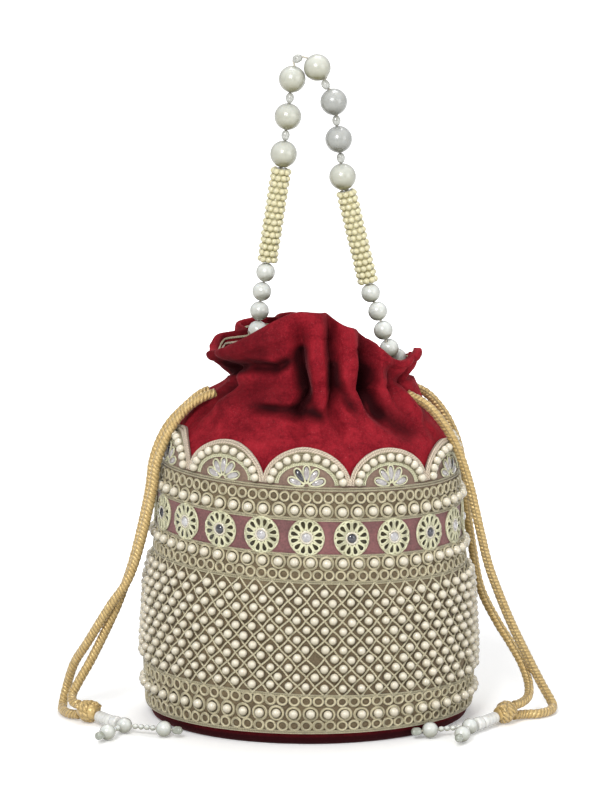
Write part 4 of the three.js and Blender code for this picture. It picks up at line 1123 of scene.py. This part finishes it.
def wovenShape():    # rounds of seed pearls about a core, each round shifted by half a pearl
    h = handle
    parts = [lathe([(h["bore"], -24.6), (3.6, -24.6), (3.6, 24.6), (h["bore"], 24.6)], 18)]
    seed = ball(h["seed"] / 2, 12, 7)
    ringRadius = h["wovenWidth"] / 2 - h["seed"] / 2
    reach = h["wovenLength"] / 2 - h["seed"] / 2
    for row in range(h["seedRows"]):
        z = mix(-reach, reach, row / (h["seedRows"] - 1))
        for k in range(h["seedsAround"]):
            a = turn * (k + 0.5 * (row % 2)) / h["seedsAround"]
            size = random.uniform(0.95, 1.03)
            x = ringRadius * math.cos(a) * random.uniform(0.97, 1.0)
            parts.append(moved(seed, (x, ringRadius * math.sin(a), z + random.uniform(-0.12, 0.12)), size))
    return joined(parts)


def centreOf(node):
    low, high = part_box(node)
    return np.array((low + high) / 2) / mm


def handleOrder():    # every bead's node, from the left end over the top to the right end
    medium = [f"medium_pearl_{i}" for i in range(1, 12)]
    pairs = [name for i in range(1, 7) for name in (f"big_pearl_{i}", f"spacer_bead_{i}")]
    return [*medium[:6], "woven_pearl_tube_1", *pairs, "big_pearl_7", "woven_pearl_tube_2", *medium[6:]]


def threadThrough(places, steps):    # a path from place to place
    runs = [np.linspace(a, b, steps, endpoint=False) for a, b in zip(places, places[1:])]
    return np.vstack(runs + [places[-1:]])


def makeHandle():
    order = handleOrder()
    centres = np.array([centreOf(node) for node in order])
    into = np.diff(centres, axis=0)
    into /= np.linalg.norm(into, axis=1)[:, None]
    axes = np.vstack([into[:1], into[:-1] + into[1:], into[-1:]])
    axes /= np.linalg.norm(axes, axis=1)[:, None]
    kinds = {    # each kind's shape, material, slot and half its length
        "big": (boredBall(handle["bigPearl"] / 2, handle["bore"], 48, 30), bigPearl, "pearl", 7),
        "medium": (boredBall(handle["mediumPearl"] / 2, handle["bore"], 40, 24), mediumPearl, "pearl", 5),
        "spacer": (spacerShape(), spacerGlass, "pearl", 2.5),
        "woven": (None, seedPearl, "seed_pearl", 25),
    }
    random.seed(11)
    stations = []
    for node, at, axis in zip(order, centres, axes):
        shape, material, slot, reach = kinds[node.split("_")[0]]
        if node in handle["silver"]:
            material = silverPearl
        shape = placed(shape or wovenShape(), at, axis, random.uniform(0, turn))
        makePiece(f"{node}Bead", shape, material, slot, node, "handle")
        stations += [at - axis * reach, at + axis * reach]
    path = threadThrough(stations, 6)
    makePiece("handleThread", tube(path, handle["thread"], 10), beadThread, "thread", "handle_thread",
              "handle", lay=layOf(path, 10))


makeHandle()
print("handle strung")


# Tassels
tassels = {
    "pearl": 8.4, "seed": 3, "tubeBead": (6.4, 13), "barrel": (7, 5.4), "endBead": (4.3, 5.6), "cord": 1.0,
    "headings": {"left": {"tube": -55, "barrel": -50, "pearl": -50, "long": -20, "short": -120},
                 "right": {"tube": -125, "barrel": -130, "pearl": -130, "long": -160, "short": -105}},
}


def headed(degrees):
    return np.array([math.cos(math.radians(degrees)), math.sin(math.radians(degrees)), 0])


def longBead(width, length, flutes=0, ease=1.4):    # a bead with rounded ends; flutes wind along it
    half = length / 2
    arc = np.linspace(0, math.pi / 2, 6)
    low = [(width / 2 - ease + ease * math.sin(a), -half + ease - ease * math.cos(a)) for a in arc]
    middle = [(width / 2, z) for z in np.linspace(-half + ease, half - ease, 22)[1:-1]]
    profile = [(0.5, -half), *low, *middle, *[(x, -z) for x, z in low[::-1]], (0.5, half)]
    points, faces = lathe(profile, 32)
    if flutes:
        angle = np.arctan2(points[:, 1], points[:, 0])
        wave = np.cos(flutes * angle + 2.2 * points[:, 2])
        outer = np.hypot(points[:, 0], points[:, 1]) > width / 2 - 0.5
        groove = 1 - 0.03 * np.clip(wave, 0, 1) ** 3 * outer
        points = points * np.stack([groove, groove, 1 + 0 * groove], -1)
    return points, faces


def strandShape(length, seed):    # a few seed pearls in a row
    count = max(round(length / seed), 1)
    pitch = length / count
    one = ball(seed / 2, 12, 8, pitch / seed)
    return joined([(one[0] + (0, 0, (k + 0.5) * pitch - length / 2), one[1]) for k in range(count)])


def makeTassel(side):
    t = tassels
    ways = t["headings"][side]
    made = []
    shapes = {
        "tube_bead": (longBead(*t["tubeBead"], flutes=1), "tube", milkBead, "bead"),
        "barrel_bead": (longBead(*t["barrel"]), "barrel", milkBead, "bead"),
        "round_pearl": (ball(t["pearl"] / 2, 36, 20), "pearl", mediumPearl, "pearl"),
    }
    for branch, length in (("long", 13), ("short", 7.5)):
        shapes[f"{branch}_seed_strand"] = (strandShape(length, t["seed"]), branch, mediumPearl, "seed_pearl")
        shapes[f"{branch}_drop_pearl"] = (ball(t["pearl"] / 2, 36, 20), branch, mediumPearl, "pearl")
        shapes[f"{branch}_end_bead"] = (longBead(*t["endBead"], ease=2), branch, tipGlass, "bead")
    for name, (shape, way, material, slot) in shapes.items():
        node = f"{side}_{name}"
        shape = placed(shape, centreOf(node), headed(ways[way]))
        made.append(makePiece(f"{node}Bead", shape, material, slot, node))
    chains = [("rope_knot", "tube_bead", "barrel_bead", "round_pearl")]
    for branch in ("long", "short"):
        chains.append(("round_pearl", f"{branch}_seed_strand", f"{branch}_drop_pearl", f"{branch}_end_bead"))
    paths = [threadThrough([centreOf(f"{side}_{name}") for name in chain], 8) for chain in chains]
    points, faces = joined([tube(path, t["cord"], 8) for path in paths])
    lay = np.stack([points[:, 0], points[:, 1], 0 * points[:, 2]], -1)
    return [*made, makePiece(f"{side}TasselThread", (points, faces), beadThread, "thread", lay=lay)]


for side in ("left", "right"):
    hung = makeTassel(side)
print("tassels made")
